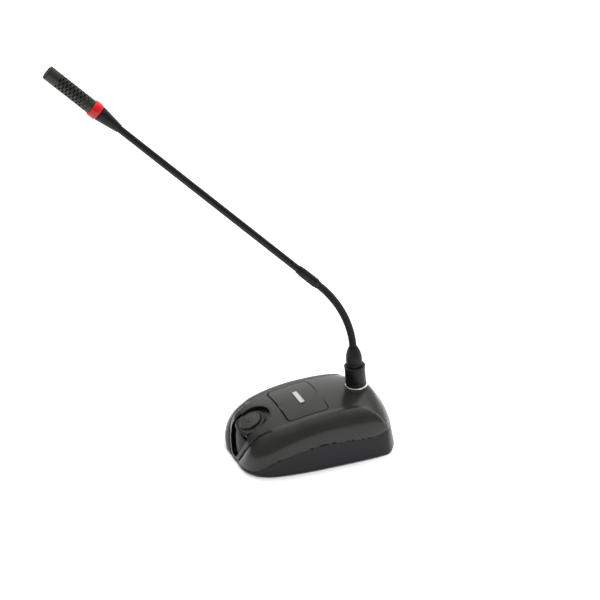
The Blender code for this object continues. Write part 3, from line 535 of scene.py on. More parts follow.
def surface(name, colour, roughness, metallic=0.0, coat=0.0, grain=0.0, grain_scale=2600.0, blotch=0.08,
            shade=0.12, specular=0.5, emission=0.0, subsurface=0.0, transmission=0.0, brushed=None):
    """A Principled material with a fine moulded grain, uneven gloss and a slight change of tone."""
    made = bpy.data.materials.new(name)
    made.use_nodes = True
    nodes, links = made.node_tree.nodes, made.node_tree.links
    shader = nodes["Principled BSDF"]
    shader.inputs["Metallic"].default_value = metallic
    shader.inputs["Coat Weight"].default_value = coat
    shader.inputs["Coat Roughness"].default_value = 0.06
    shader.inputs["Specular IOR Level"].default_value = specular
    shader.inputs["Transmission Weight"].default_value = transmission
    shader.inputs["Subsurface Weight"].default_value = subsurface
    shader.inputs["Subsurface Radius"].default_value = (1.0, 0.12, 0.08)
    shader.inputs["Subsurface Scale"].default_value = 0.002
    shader.inputs["Emission Color"].default_value = (*colour, 1.0)
    shader.inputs["Emission Strength"].default_value = emission
    place = nodes.new("ShaderNodeTexCoord")
    stretch = nodes.new("ShaderNodeMapping")
    links.new(place.outputs["Object"], stretch.inputs["Vector"])
    if brushed:
        stretch.inputs["Scale"].default_value = brushed
    wide = nodes.new("ShaderNodeTexNoise")
    wide.inputs["Scale"].default_value = 55.0
    wide.inputs["Detail"].default_value = 5.0
    links.new(place.outputs["Object"], wide.inputs["Vector"])
    gloss = nodes.new("ShaderNodeMapRange")
    gloss.inputs["From Min"].default_value = 0.3
    gloss.inputs["From Max"].default_value = 0.7
    gloss.inputs["To Min"].default_value = roughness * (1.0 - blotch)
    gloss.inputs["To Max"].default_value = roughness * (1.0 + blotch)
    links.new(wide.outputs["Fac"], gloss.inputs["Value"])
    links.new(gloss.outputs["Result"], shader.inputs["Roughness"])
    tone = nodes.new("ShaderNodeValToRGB")
    tone.color_ramp.elements[0].position = 0.3
    tone.color_ramp.elements[1].position = 0.7
    tone.color_ramp.elements[0].color = (*[c * (1.0 - shade) for c in colour], 1.0)
    tone.color_ramp.elements[1].color = (*[min(1.0, c * (1.0 + shade)) for c in colour], 1.0)
    links.new(wide.outputs["Fac"], tone.inputs["Fac"])
    links.new(tone.outputs["Color"], shader.inputs["Base Color"])
    if grain:
        fine = nodes.new("ShaderNodeTexNoise")
        fine.inputs["Scale"].default_value = grain_scale
        fine.inputs["Detail"].default_value = 3.0
        links.new(stretch.outputs["Vector"], fine.inputs["Vector"])
        bump = nodes.new("ShaderNodeBump")
        bump.inputs["Strength"].default_value = grain
        bump.inputs["Distance"].default_value = 0.00008
        links.new(fine.outputs["Fac"], bump.inputs["Height"])
        links.new(bump.outputs["Normal"], shader.inputs["Normal"])
    return made


def woven(name, colour, roughness, pitch):
    """A blackened wire cloth: two crossed sets of wires."""
    made = surface(name, colour, roughness, metallic=0.8)
    nodes, links = made.node_tree.nodes, made.node_tree.links
    shader = nodes["Principled BSDF"]
    place = nodes["Texture Coordinate"]
    height = None
    for direction in ("Y", "Z"):
        wave = nodes.new("ShaderNodeTexWave")
        wave.bands_direction = direction
        wave.inputs["Scale"].default_value = 0.314 / (pitch * MM)
        links.new(place.outputs["Object"], wave.inputs["Vector"])
        if height is None:
            height = wave.outputs["Fac"]
        else:
            both = nodes.new("ShaderNodeMath")
            both.operation = "MAXIMUM"
            links.new(height, both.inputs[0])
            links.new(wave.outputs["Fac"], both.inputs[1])
            height = both.outputs["Value"]
    bump = nodes.new("ShaderNodeBump")
    bump.inputs["Strength"].default_value = 0.8
    bump.inputs["Distance"].default_value = 0.0001
    links.new(height, bump.inputs["Height"])
    links.new(bump.outputs["Normal"], shader.inputs["Normal"])
    return made


# ---------------------------------------------------------------- mesh tools

def bake(piece):
    """Replaces the piece's mesh by what its modifiers make of it, and removes their tools."""
    tools = [m.object for m in piece.modifiers if m.type == "BOOLEAN"]
    graph = bpy.context.evaluated_depsgraph_get()
    mesh = bpy.data.meshes.new_from_object(piece.evaluated_get(graph))
    piece.modifiers.clear()
    piece.data = mesh
    for tool in tools:
        bpy.data.objects.remove(tool, do_unlink=True)
    return piece


def smooth_like(piece, source):
    """Gives the piece the source's shading wherever it still lies on the source's surface."""
    graph = source.data
    tree = BVHTree.FromPolygons([v.co for v in graph.vertices], [p.vertices[:] for p in graph.polygons])
    mesh = piece.data
    mesh.shade_smooth()
    mesh.set_sharp_from_angle(angle=math.radians(32.0))
    normals = [(0.0, 0.0, 0.0)] * len(mesh.loops)
    corners = [v.co for v in graph.vertices]
    turned_out = [v.normal for v in graph.vertices]
    for face in mesh.polygons:
        for loop in face.loop_indices:
            at = mesh.vertices[mesh.loops[loop].vertex_index].co
            place, facing, index, distance = tree.find_nearest(at)
            if distance is None or distance > 0.00004 or abs(facing.dot(face.normal)) < 0.9:
                continue
            ids = graph.polygons[index].vertices[:]
            shares = poly_3d_calc([corners[i] for i in ids], place)
            blend = Vector((0.0, 0.0, 0.0))
            for share, i in zip(shares, ids):
                blend += turned_out[i] * share
            if blend.length > 1e-6:
                normals[loop] = (blend if blend.dot(face.normal) > 0.0 else -blend).normalized()
    mesh.normals_split_custom_set(normals)


def lofted(name, rings, look=None, place=None, closed=False, angle=35.0):
    """A solid through closed rings of points, capped at both ends or joined end to end."""
    count = len(rings[0])
    points = [p for ring in rings for p in ring]
    faces = []
    for k in range(len(rings) if closed else len(rings) - 1):
        low, high = k * count, ((k + 1) % len(rings)) * count
        for i in range(count):
            j = (i + 1) % count
            faces.append([low + i, low + j, high + j, high + i])
    if not closed:
        faces.append(list(range(count)))
        faces.append(list(range(len(points) - count, len(points))))
    return add_object(name, points, faces, look, place, smooth_angle=angle)


def settle(piece, body, slot, *nodes):
    """Rides the piece on its body, in place of the CAD nodes that it stands for."""
    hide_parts(*nodes)
    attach(piece, body)
    return piece


# ---------------------------------------------------------------- base

SEAM = 0.5  # the seam's width at the sides of the name panel
FRONT_SEAM = 0.5  # how much wider it is at the front


def deck_ring(grow, drop, steps=10):
    """The name panel's outline, grown, at a depth below the deck, with points along its straight sides."""
    outline = rounded_rectangle(-PANEL_HALF_WIDTH - grow, PANEL_HALF_WIDTH + grow,
                                PANEL_FRONT - grow - (FRONT_SEAM if grow > 0.0 else 0.0), PANEL_REAR + grow,
                                PANEL_CORNER + grow, steps)
    dense = []
    for i, (x0, y0) in enumerate(outline):
        x1, y1 = outline[(i + 1) % len(outline)]
        parts = max(1, round(math.hypot(x1 - x0, y1 - y0) / 2.5)) if i % (steps + 1) == steps else 1
        dense += [(x0 + (x1 - x0) * t / parts, y0 + (y1 - y0) * t / parts) for t in range(parts)]
    return [(x, y, deck_height(x, y) - drop) for x, y in dense]


def shrunk_ring(share):
    ring = deck_ring(0.0, 0.0)
    middle = (PANEL_FRONT + PANEL_REAR) / 2
    moved = [(x * share, middle + (y - middle) * share) for x, y, _ in ring]
    return [(x, y, deck_height(x, y)) for x, y in moved]


def make_shell(look):
    shell = shell_object(look)
    source = shell.copy()
    source.data = shell.data.copy()
    boolean(shell, extruded("dish_opening", plate_outline(GAP), -12.0, 14.0, frame=dish_frame()))
    half = [(x, z) for x, z in FRONT_OPENING]
    outline = half + [(-x, z) for x, z in reversed(half[1:])]
    outline = [tuple(p) for p in spline(outline + outline[:1], 8)[:-1]]
    upright = Matrix.Translation((0.0, -90.0 * MM, 0.0)) @ Matrix.Rotation(math.radians(90.0), 4, "X")
    boolean(shell, extruded("front_opening", outline, -90.0 - FRONT_OPENING_REAR, 0.0, fascia_black,
                            upright))
    # Painted shade: the opening's cut walls take the near-black fascia material.
    shell.modifiers[-1].material_mode = "TRANSFER"
    pocket = [deck_ring(SEAM, 1.3), deck_ring(SEAM, 0.3), deck_ring(SEAM + 0.08, 0.1),
              deck_ring(SEAM + 0.28, 0.0),
              deck_ring(SEAM + 1.2, -0.9)]
    boolean(shell, lofted("panel_pocket", pocket, fascia_black))
    # Painted shade: the pocket's cut walls take the same near-black material, darkening the seam round the
    # name panel.
    shell.modifiers[-1].material_mode = "TRANSFER"
    seat = frame_along(SEAT, SEAT_AXIS)
    hole = [(0.0, -20.0), (9.5, -20.0), (9.5, -0.9), (10.5, -0.9), (10.5, -0.1), (11.1, 0.5), (14.0, 4.0),
            (0.0, 4.0)]
    boolean(shell, turned("seat_hole", hole, frame=seat))
    bake(shell)
    smooth_like(shell, source)
    bpy.data.objects.remove(source, do_unlink=True)
    shell.name = "shell_skin"
    return shell


def make_housing(look):
    housing = housing_object(look)
    for x, y in SCREW_PLACES:
        sink = [(0.0, -1.0), (3.8, -1.0), (3.4, FOOT_DROP + 0.4), (3.4, FOOT_DROP + 1.2),
                (1.7, FOOT_DROP + 1.2),
                (1.7, 5.0), (0.0, 5.0)]
        boolean(housing, turned(f"sink_{x}_{y}", sink, frame=flat_frame(x, y), sides=32))
    for x, y in FOOT_PLACES:
        boolean(housing, turned(f"recess_{x}_{y}", disc_profile(6.5, -1.0, FOOT_DROP + 0.9),
                                frame=flat_frame(x, y),
                                sides=48))
    jack = frame_along((0.0, 60.0, JACK_HEIGHT), (0.0, 1.0, 0.0))
    boolean(housing, turned("jack_hole", disc_profile(4.9, 0.0, 20.0), frame=jack, sides=48))
    boolean(housing, turned("jack_recess", disc_profile(8.4, JACK_FACE - 60.0, 20.0), frame=jack))
    bake(housing)
    housing.name = "housing_skin"
    housing.data.set_sharp_from_angle(angle=math.radians(32.0))
    return housing


def make_plate(look):
    place = dish_frame()
    plate = extruded("plate_skin", plate_outline(0.0), -PLATE_THICKNESS, 9.0, look, place)
    boolean(plate, envelope("plate_trim"), "INTERSECT")
    clearing = arc((0.0, 0.0), DISH_RADIUS - DISH_RIM, -24.0, 204.0, DISH_STEPS)
    clearing += [(-22.0, -6.5), (-22.0, -30.0), (22.0, -30.0), (22.0, -6.5)]
    boolean(plate, extruded("plate_clearing", clearing, 0.0, 14.0, frame=place))
    boolean(plate, extruded("plate_moat", moat_outline(), -MOAT_DEPTH, 1.0, frame=place))
    hole = [(0.0, -6.0), (10.0, -6.0), (10.0, -0.45), (10.15, -0.15), (10.5, 0.0), (12.0, 1.5), (0.0, 1.5)]
    boolean(plate, turned("plate_hole", hole, frame=button_frame()))
    under = rounded_rectangle(-20.0, 20.0, -34.0, -14.9, 1.0, 1)
    boolean(plate, extruded("plate_undercut", under, -9.0, -LIP_THICKNESS, frame=place))
    bake(plate)
    edge = plate.modifiers.new("edge", "BEVEL")
    edge.width = 0.22 * MM
    edge.segments = 2
    edge.limit_method = "ANGLE"
    edge.angle_limit = math.radians(50.0)
    plate.data.set_sharp_from_angle(angle=math.radians(32.0))
    return plate


def make_button(look, look_lens):
    back = -PLATE_THICKNESS - GAP
    top = BUTTON_HEIGHT + BUTTON_DOME
    edge = [(BUTTON_RADIUS - 0.7 + 0.7 * math.cos(a),
             top - 1.15 + 0.7 * math.sin(a)) for a in np.radians((0, 22, 45, 68, 90))]
    profile = [(0.0, back - 3.2), (2.4, back - 3.2), (2.4, back - 1.4), (11.2, back - 1.4), (11.2, back),
               (BUTTON_RADIUS, back)] + edge
    profile += [(8.3, top - 0.34), (7.9, top - 0.42), (7.5, top - 0.36), (5.0, top - 0.14),
                (2.6, top - 0.05), (2.1, top),
                (1.95, top - 0.15), (1.9, BUTTON_HEIGHT - 0.6), (0.0, BUTTON_HEIGHT - 0.6)]
    button = turned("button_cap", profile, look, button_frame(), sides=96)
    lens = [(0.0, -0.3), (1.6, -0.3), (1.6, 0.45), (1.35, 0.68), (0.8, 0.78), (0.0, 0.8)]
    mark = turned("button_lens", lens, look_lens, button_frame(BUTTON_HEIGHT), sides=36)
    return button, mark


# The fascia behind the front opening, in the near-black material that paints the recess's shade over the
# fascia's own black.
def make_fascia(look):
    grid = skin(0.0)
    rows = 3 * ROWS_PER_STATION
    first = LOBE_COLUMNS + 1
    deck = slice(first, first + DECK_COLUMNS + 1)
    near = offset_inward(grid, FASCIA_SETBACK)[ROWS_PER_STATION // 2:rows, deck] * (0.93, 1.0, 1.0)
    far = offset_inward(grid, FASCIA_SETBACK + FASCIA_THICKNESS)[ROWS_PER_STATION // 2:rows, deck] * (0.93,
                                                                                                      1.0,
                                                                                                      1.0)
    rows, columns = near.shape[:2]
    faces = sheet_faces(rows, columns, 0) + sheet_faces(rows, columns, rows * columns)
    rim = border(rows, columns)
    for a, b in zip(rim, rim[1:] + rim[:1]):
        faces.append([a, b, rows * columns + b, rows * columns + a])
    return add_object("fascia_panel", np.vstack((near.reshape(-1, 3), far.reshape(-1, 3))), faces, look)


def make_panel(look, look_badge):
    rings = [shrunk_ring(s) for s in np.linspace(0.04, 0.94, 10)]
    rings += [deck_ring(-0.45, 0.0), deck_ring(-0.22, 0.03), deck_ring(-0.07, 0.12), deck_ring(0.0, 0.3),
              deck_ring(0.0, PANEL_THICKNESS)]
    panel = lofted("panel_skin", rings, look)
    length, width, height = BADGE_SIZE
    slope = (deck_height(0.0, BADGE_Y + 2.0) - deck_height(0.0, BADGE_Y - 2.0)) / 4.0
    place = frame_along((0.0, BADGE_Y, deck_height(0.0, BADGE_Y) + GAP), (0.0, -slope, 1.0))

    def ring(inset, z):
        return [(x, y, z) for x, y in rounded_rectangle(-length / 2 + inset, length / 2 - inset,
                                                        -width / 2 + inset,
                                                        width / 2 - inset, max(0.2, 0.8 - inset), 6)]

    rings = [ring(0.0, -0.25), ring(0.0, height - 0.14), ring(0.06, height - 0.04), ring(0.16, height),
             ring(0.45, height), ring(0.55, height - 0.08)]
    badge = lofted("badge_strip", rings, look_badge, place)
    return panel, badge


# ---------------------------------------------------------------- gooseneck

def neck_at(distance):
    """Point and direction on the neck's arc at a distance above the boot."""
    start = Vector(SEAT) + SEAT_AXIS * BOOT_TOP
    bend = SEAT_AXIS.angle(head_axis())
    towards = (head_axis() - SEAT_AXIS * SEAT_AXIS.dot(head_axis())).normalized()
    angle = bend * distance / NECK_LENGTH
    if distance < 0.0:
        return start + SEAT_AXIS * distance, SEAT_AXIS
    if distance > NECK_LENGTH:
        return neck_line()[-1] + head_axis() * (distance - NECK_LENGTH), head_axis()
    radius = NECK_LENGTH / bend
    point = start + radius * (math.sin(angle) * SEAT_AXIS + (1.0 - math.cos(angle)) * towards)
    return point, math.cos(angle) * SEAT_AXIS + math.sin(angle) * towards


COIL_PITCH = 1.3
COIL_DEPTH = 0.45
COIL_STEPS = 8
COIL_SIDES = 40


def make_neck_piece(name, low, high, look):
    """A length of the wound neck: a wire coil's rounded turns round a plain bore."""
    rows = max(2, round((high - low) / COIL_PITCH * COIL_STEPS))
    side = bend_axis()
    points, faces = [], []
    for k in range(rows + 1):
        distance = low + (high - low) * k / rows
        point, along = neck_at(distance)
        across = along.cross(side)
        for i in range(COIL_SIDES):
            angle = math.tau * i / COIL_SIDES
            turn = (distance / COIL_PITCH - i / COIL_SIDES) % 1.0
            radius = NECK_RADIUS - COIL_DEPTH * (1.0 - math.sin(math.pi * turn) ** 0.7)
            points.append(point + radius * (math.cos(angle) * side + math.sin(angle) * across))
    for k in range(rows):
        for i in range(COIL_SIDES):
            j = (i + 1) % COIL_SIDES
            a, b = k * COIL_SIDES, (k + 1) * COIL_SIDES
            faces.append([a + i, a + j, b + j, b + i])
    faces.append(list(range(COIL_SIDES)))
    faces.append(list(range(rows * COIL_SIDES, (rows + 1) * COIL_SIDES)))
    return add_object(name, points, faces, look, smooth_angle=70.0)


def make_neck(look):
    length = NECK_LENGTH / NECK_LINKS
    marks = [-length / 2] + [length * (i + 0.5) for i in range(NECK_LINKS)]
    for i in range(NECK_LINKS):
        low = -1.0 if i == 0 else marks[i]
        piece = make_neck_piece(f"neck_coil_{i + 1:02d}", low, marks[i + 1], look)
        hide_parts(f"neck_link_{i + 1:02d}")
        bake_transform(piece)
    last = make_neck_piece("neck_coil_11", marks[-1], NECK_LENGTH + 1.5, look)
    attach(last, "microphone")


def make_plug(look_collar, look_boot):
    seat = frame_along(SEAT, SEAT_AXIS)
    collar = [(7.7, -12.6), (7.7, COLLAR_BOTTOM), (9.2, COLLAR_BOTTOM), (9.45, 1.75), (9.5, 2.1),
              (9.5, 3.2), (9.3, 3.7),
              (9.3, 4.4), (9.12, 4.5), (9.12, 4.8), (9.3, 4.9), (9.3, 17.6), (9.12, 17.8), (9.12, 18.2),
              (9.5, 18.6),
              (9.55, 19.0), (9.55, 19.9), (9.4, 20.25), (9.1, COLLAR_TOP), (7.9, COLLAR_TOP), (7.7, 20.2),
              (7.6, 19.6),
              (6.9, 19.4), (6.9, 13.0), (6.7, 13.0), (6.7, -12.6)]
    barrel = turned("collar_skin", collar, look_collar, seat, sides=96)
    taper = [(7.35 - 3.45 * t ** 2.6, 24.0 + (BOOT_TOP - 0.4 - 24.0) * t) for t in np.linspace(0.0, 1.0,
                                                                                               22)]
    boot = [(6.6, 14.0), (6.6, 19.6), (7.3, 19.6), (7.35, 19.8), (7.35, 22.9), (7.2, 23.1), (7.12, 23.3),
            (7.12, 23.6),
            (7.3, 23.9)] + taper + [(3.55, BOOT_TOP - 0.4), (3.5, 38.6), (3.5, 14.0)]
    return barrel, boot_mesh(boot, look_boot, seat)


CHEVRONS = 10


def boot_mesh(profile, look, place):
    """The boot, with zigzag ridges round its narrow end."""
    sides = 120
    points, faces = [], []
    for radius, height in profile:
        for i in range(sides):
            zigzag = abs((i * CHEVRONS / sides) % 1.0 * 2.0 - 1.0)
            ridge = 0.0
            if radius > 3.6 and height > 32.0:
                level = (height - 32.0 - 1.6 * zigzag) / 1.9
                fade = min(1.0, (height - 32.0) / 1.5)
                ridge = -0.22 * fade * (0.5 + 0.5 * math.cos(math.tau * level))
            angle = math.tau * i / sides
            points.append(((radius + ridge) * math.cos(angle), (radius + ridge) * math.sin(angle), height))
    for k in range(len(profile)):
        for i in range(sides):
            j = (i + 1) % sides
            a, b = k * sides, ((k + 1) % len(profile)) * sides
            faces.append([a + i, a + j, b + j, b + i])
    return add_object("boot_skin", points, faces, look, place)


def make_socket(look):
    seat = frame_along(SEAT, SEAT_AXIS)
    rim = [(9.2, -16.0), (9.2, -0.6), (10.2, -0.6), (10.2, 0.55), (10.1, 0.85), (9.85, 1.1), (9.5, 1.2),
           (8.3, 1.2),
           (8.0, 0.9), (8.0, -16.0)]
    return turned("socket_rim", rim, look, seat, sides=96)


def make_sleeve(look):
    bottom = 0.3
    sleeve = [(3.5, bottom), (3.65, bottom + 0.1), (3.75, 0.6), (3.75, 2.5), (3.85, 2.7),
              (SLEEVE_RADIUS - 0.15, 2.8),
              (SLEEVE_RADIUS, 3.1), (SLEEVE_RADIUS, 5.0), (4.1, 5.15), (4.1, 5.6), (SLEEVE_RADIUS, 5.75),
              (SLEEVE_RADIUS, 18.6),
              (4.1, 18.75), (4.1, 19.2), (SLEEVE_RADIUS, 19.35), (SLEEVE_RADIUS, 20.4), (4.1, 20.9),
              (3.85, 21.3),
              (3.85, 23.6), (3.65, SLEEVE_LENGTH), (3.5, SLEEVE_LENGTH), (3.5, TUBE_BOTTOM - GAP),
              (2.0, TUBE_BOTTOM - GAP), (2.0, bottom)]
    return turned("sleeve_skin", sleeve, look, head_frame())


def make_tube(look):
    rows = np.linspace(TUBE_BOTTOM + 0.3, TUBE_TOP - 0.3, 40)
    profile = [(TUBE_RADIUS - 0.2, TUBE_BOTTOM)] + [(TUBE_RADIUS, h) for h in rows] + [(TUBE_RADIUS - 0.2,
                                                                                        TUBE_TOP)]
    return turned("tube_skin", profile + [(TUBE_BORE, TUBE_TOP), (TUBE_BORE, TUBE_BOTTOM)], look,
                  head_frame())


def make_cone(look):
    flare = [(3.75 + 2.85 * (t ** 0.92),
              CONE_BOTTOM + 1.2 + (CONE_TOP - 2.6 - CONE_BOTTOM) * t) for t in np.linspace(0, 1, 20)]
    cone = [(3.5, CONE_BOTTOM), (3.68, CONE_BOTTOM + 0.1), (3.75, CONE_BOTTOM + 0.3)] + flare
    cone += [(6.6, CONE_TOP - 1.0), (6.42, CONE_TOP - 0.85), (6.42, CONE_TOP - 0.6), (6.6, CONE_TOP - 0.45),
             (6.6, CONE_TOP - 0.15), (6.45, CONE_TOP), (5.5, CONE_TOP), (5.5, 239.0), (3.5, 232.5)]
    return turned("cone_skin", cone, look, head_frame(), sides=96)


def make_ring(look):
    middle = (RING_BOTTOM + RING_TOP) / 2
    half = (RING_TOP - RING_BOTTOM) / 2
    bulge = [(RING_RADIUS - 0.95 + 0.95 * math.cos(a) ** 0.6, middle - half * math.sin(a))
             for a in np.radians(np.linspace(89.0, -89.0, 25))]
    return turned("ring_lens", bulge + [(5.6, RING_TOP), (5.6, RING_BOTTOM)], look, head_frame(), sides=112)


def make_head(look, look_cap):
    """The slotted tube, laid out flat as cells with a round-ended slot each, then rolled up."""
    step = 360.0 / SLOTS_PER_RING
    parts = 8
    reach = math.radians(SLOT_ANGLE / 2) * HEAD_RADIUS
    work = bmesh.new()
    walls = (HEAD_RADIUS, HEAD_RADIUS - HEAD_WALL)

    def at(angle, height, radius):
        return work.verts.new((radius * math.cos(angle), radius * math.sin(angle), height))

    def quad(a, b, c, d):
        work.faces.new((a, b, c, d))

    for ring in range(SLOT_RINGS):
        middle = SLOTS_START + SLOT_HEIGHT / 2 + ring * SLOT_PITCH
        for k in range(SLOTS_PER_RING):
            turn = math.radians(step * k + (0.0 if ring % 2 == 0 else step / 2))
            wide, tall = math.radians(step / 2), SLOT_PITCH / 2
            edge = [(-wide + 2 * wide * i / parts, -tall) for i in range(parts)]
            edge += [(wide, -tall), (wide, 0.0), (wide, tall)]
            edge += [(wide - 2 * wide * i / parts, tall) for i in range(1, parts)]
            edge += [(-wide, tall), (-wide, 0.0)]
            slot_edge = []
            for angle, height in edge:
                x = angle * HEAD_RADIUS
                centre = max(-reach + SLOT_HEIGHT / 2, min(reach - SLOT_HEIGHT / 2, x))
                out = math.hypot(x - centre, height)
                slot_edge.append(((centre + (x - centre) / out * SLOT_HEIGHT / 2) / HEAD_RADIUS,
                                  height / out * SLOT_HEIGHT / 2))
            soft = [((a[0] - b[0]) * 0.22 + b[0], (a[1] - b[1]) * 0.22 + b[1]) for a,
                    b in zip(edge, slot_edge)]
            loops = []
            for loop, radius in ((edge, walls[0]), (soft, walls[0]), (slot_edge, walls[0] - 0.12),
                                 (slot_edge, walls[1]), (edge, walls[1])):
                loops.append([at(turn + a, middle + h, radius) for a, h in loop])
            for outer, inner in zip(loops, loops[1:]):
                for i in range(len(edge)):
                    j = (i + 1) % len(edge)
                    quad(outer[i], outer[j], inner[j], inner[i])
    first = SLOTS_START + SLOT_HEIGHT / 2 - SLOT_PITCH / 2
    last = first + SLOT_RINGS * SLOT_PITCH
    for bottom, top in ((HEAD_BOTTOM, first), (last, HEAD_TOP)):
        count = SLOTS_PER_RING * parts
        rows = [[at(math.tau * i / count, h, r) for i in range(count)] for r, h in
                ((walls[0], bottom), (walls[0], top), (walls[1], top), (walls[1], bottom))]
        for i in range(count):
            j = (i + 1) % count
            quad(rows[0][i], rows[0][j], rows[1][j], rows[1][i])
            quad(rows[2][i], rows[2][j], rows[3][j], rows[3][i])
            if bottom == HEAD_BOTTOM:
                quad(rows[3][i], rows[3][j], rows[0][j], rows[0][i])
            else:
                quad(rows[1][i], rows[1][j], rows[2][j], rows[2][i])
    bmesh.ops.remove_doubles(work, verts=work.verts, dist=0.01)
    bmesh.ops.recalc_face_normals(work, faces=work.faces)
    work.verts.ensure_lookup_table()
    points = [tuple(v.co) for v in work.verts]
    faces = [[v.index for v in f.verts] for f in work.faces]
    work.free()
    tube = add_object("head_grille", points, faces, look, head_frame(), smooth_angle=38.0)
    base = HEAD_TOP + GAP
    spigot = HEAD_RADIUS - HEAD_WALL - GAP
    cap = [(0.0, HEAD_TOP - 2.2), (spigot, HEAD_TOP - 2.2), (spigot, base), (HEAD_RADIUS - 0.15, base),
           (HEAD_RADIUS, base + 0.12), (HEAD_RADIUS, base + 0.4),
           (6.2, base + 0.75), (5.85, base + 0.98), (5.5, base + 1.0), (5.1, base + 0.95),
           (4.9, base + 0.75),
           (4.7, base + 0.3), (4.4, base + 0.22), (2.6, base + 0.3), (0.0, base + 0.34)]
    return tube, turned("head_cap", cap, look_cap, head_frame(), sides=96)


# ---------------------------------------------------------------- build

gloss = surface("gloss_shell_black", (0.016, 0.0168, 0.0145), 0.24, specular=0.34, grain=0.05,
                grain_scale=1500.0, blotch=0.12)
satin = surface("satin_housing_black", (0.008, 0.008, 0.0105), 0.33, specular=0.24, grain=0.22,
                grain_scale=3200.0)
# Painted shade: the fascia's own black is taken down to near-black and made almost unreflecting, so the
# recess behind the front opening looks shadowed. The same material paints shade on the cut walls of the front
# opening and of the name panel's pocket.
fascia_black = surface("fascia_and_recess_painted_shade", (0.002, 0.002, 0.0026), 0.14, specular=0.08)
key_black = surface("key_black", (0.014, 0.0145, 0.0135), 0.24, grain=0.08, grain_scale=3000.0)
rubber = surface("black_rubber_grain", (0.008, 0.008, 0.009), 0.50, grain=0.3, grain_scale=2200.0,
                 specular=0.22)
steel = surface("zinc_steel", (0.45, 0.45, 0.44), 0.36, metallic=1.0, grain=0.15, grain_scale=4000.0)
chrome = surface("bright_chrome_rim", (0.80, 0.79, 0.76), 0.12, metallic=1.0, blotch=0.2)
board = surface("circuit_board_green", (0.015, 0.12, 0.045), 0.42, grain=0.2, grain_scale=900.0)
component = surface("component_black", (0.015, 0.015, 0.016), 0.45, grain=0.3, grain_scale=5000.0)
silver = surface("badge_silver", (0.46, 0.46, 0.45), 0.34, metallic=0.55, grain=0.2, grain_scale=1800.0,
                 brushed=(0.1, 1.0, 1.0))
frosted = surface("lens_frosted", (0.03, 0.031, 0.031), 0.35, subsurface=0.2, grain=0.1)
metal = surface("satin_black_paint", (0.006, 0.006, 0.0065), 0.34, specular=0.24, grain=0.18,
                grain_scale=3600.0)
coil = surface("coil_black", (0.006, 0.006, 0.0065), 0.34, specular=0.28, grain=0.1, grain_scale=2400.0)
head_metal = surface("head_satin_metal", (0.046, 0.048, 0.040), 0.36, metallic=0.7, specular=0.3, grain=0.2,
                     grain_scale=4200.0)
insulator = surface("insulator_grey", (0.08, 0.08, 0.085), 0.5, grain=0.2, grain_scale=2600.0)
gold = surface("contact_gold", (0.75, 0.55, 0.22), 0.2, metallic=1.0, blotch=0.2)
cloth = woven("wire_cloth_black", (0.006, 0.006, 0.006), 0.6, 0.35)
red = surface("ring_red", (0.50, 0.004, 0.008), 0.26, specular=0.3, subsurface=0.15, coat=0.3, blotch=0.15,
              shade=0.06)

settle(make_shell(gloss), "base", "gloss_black_plastic", "top_shell")
settle(make_housing(satin), "base", "satin_black_plastic", "lower_housing")
settle(make_plate(gloss), "base", "gloss_black_plastic", "control_plate")
button, mark = make_button(key_black, frosted)
settle(button, "talk_key", "gloss_black_plastic", "talk_button")
settle(mark, "talk_key", "frosted_lens", "talk_lens")
settle(make_fascia(fascia_black), "base", "fascia_black", "front_fascia")
panel, badge = make_panel(gloss, silver)
settle(panel, "base", "gloss_black_plastic", "name_panel")
settle(badge, "base", "silver_badge", "badge")
settle(make_socket(chrome), "base", "bright_chrome", "socket_ring")
barrel, boot = make_plug(metal, rubber)
settle(barrel, "gooseneck_plug", "satin_black_metal", "plug_collar")
settle(boot, "gooseneck_plug", "black_rubber", "boot")
make_neck(coil)
settle(make_sleeve(metal), "microphone", "satin_black_metal", "coupling_sleeve")
settle(make_tube(metal), "microphone", "satin_black_metal", "rigid_tube")
settle(make_cone(metal), "microphone", "satin_black_metal", "head_cone")
settle(make_ring(red), "microphone", "red_light_ring", "light_ring")
grille, cap = make_head(head_metal, head_metal)
settle(grille, "microphone", "dark_head_metal", "head_tube")
settle(cap, "microphone", "dark_head_metal", "end_cap")

CARRIED = {
    rubber: ("foot_", "tube_lead"),
    steel: ("case_screw", "ballast", "board_capacitor", "main_board_screw", "control_board_screw",
            "socket_nut", "capsule"),
    chrome: ("output_jack_nut",),
    board: ("main_board", "control_board", "led_board"),
    component: ("board_chip", "talk_switch", "output_jack"),
    insulator: ("socket_core", "plug_insert", "switch_plunger", "capsule_holder"),
    gold: ("plug_pin",),
    cloth: ("head_screen",),
}
for name, node in frame["nodes"].items():
    if node.hide_render:
        continue
    best = max(((len(start), look) for look,
                starts in CARRIED.items() for start in starts if name.startswith(start)),
               key=lambda found: found[0])
    node.data.materials.clear()
    node.data.materials.append(best[1])
    node.data.shade_smooth()
    node.data.set_sharp_from_angle(angle=math.radians(35.0))

# ---------------------------------------------------------------- stage, light and camera

VIEW_AZIMUTH = 67.8
VIEW_ELEVATION = 26.3
VIEW_DISTANCE = 1.8
VIEW_LENS = 120.0
VIEW_ASIDE = 0.0081
VIEW_ABOVE = 0.1296
BACKDROP = (-0.70, 0.45, 0.56)
DARK_SIDE = (-0.83, -0.55, 0.05)
WORLD_STRENGTH = 1.25


def make_floor():
    mesh = bpy.data.meshes.new("floor")
    mesh.from_pydata([(-9, -9, 0), (9, -9, 0), (9, 9, 0), (-9, 9, 0)], [], [(0, 1, 2, 3)])
    floor = bpy.data.objects.new("floor", mesh)
    bpy.context.scene.collection.objects.link(floor)
    mesh.materials.append(surface("pale_floor", (0.90, 0.90, 0.90), 0.9, specular=0.0, shade=0.004))


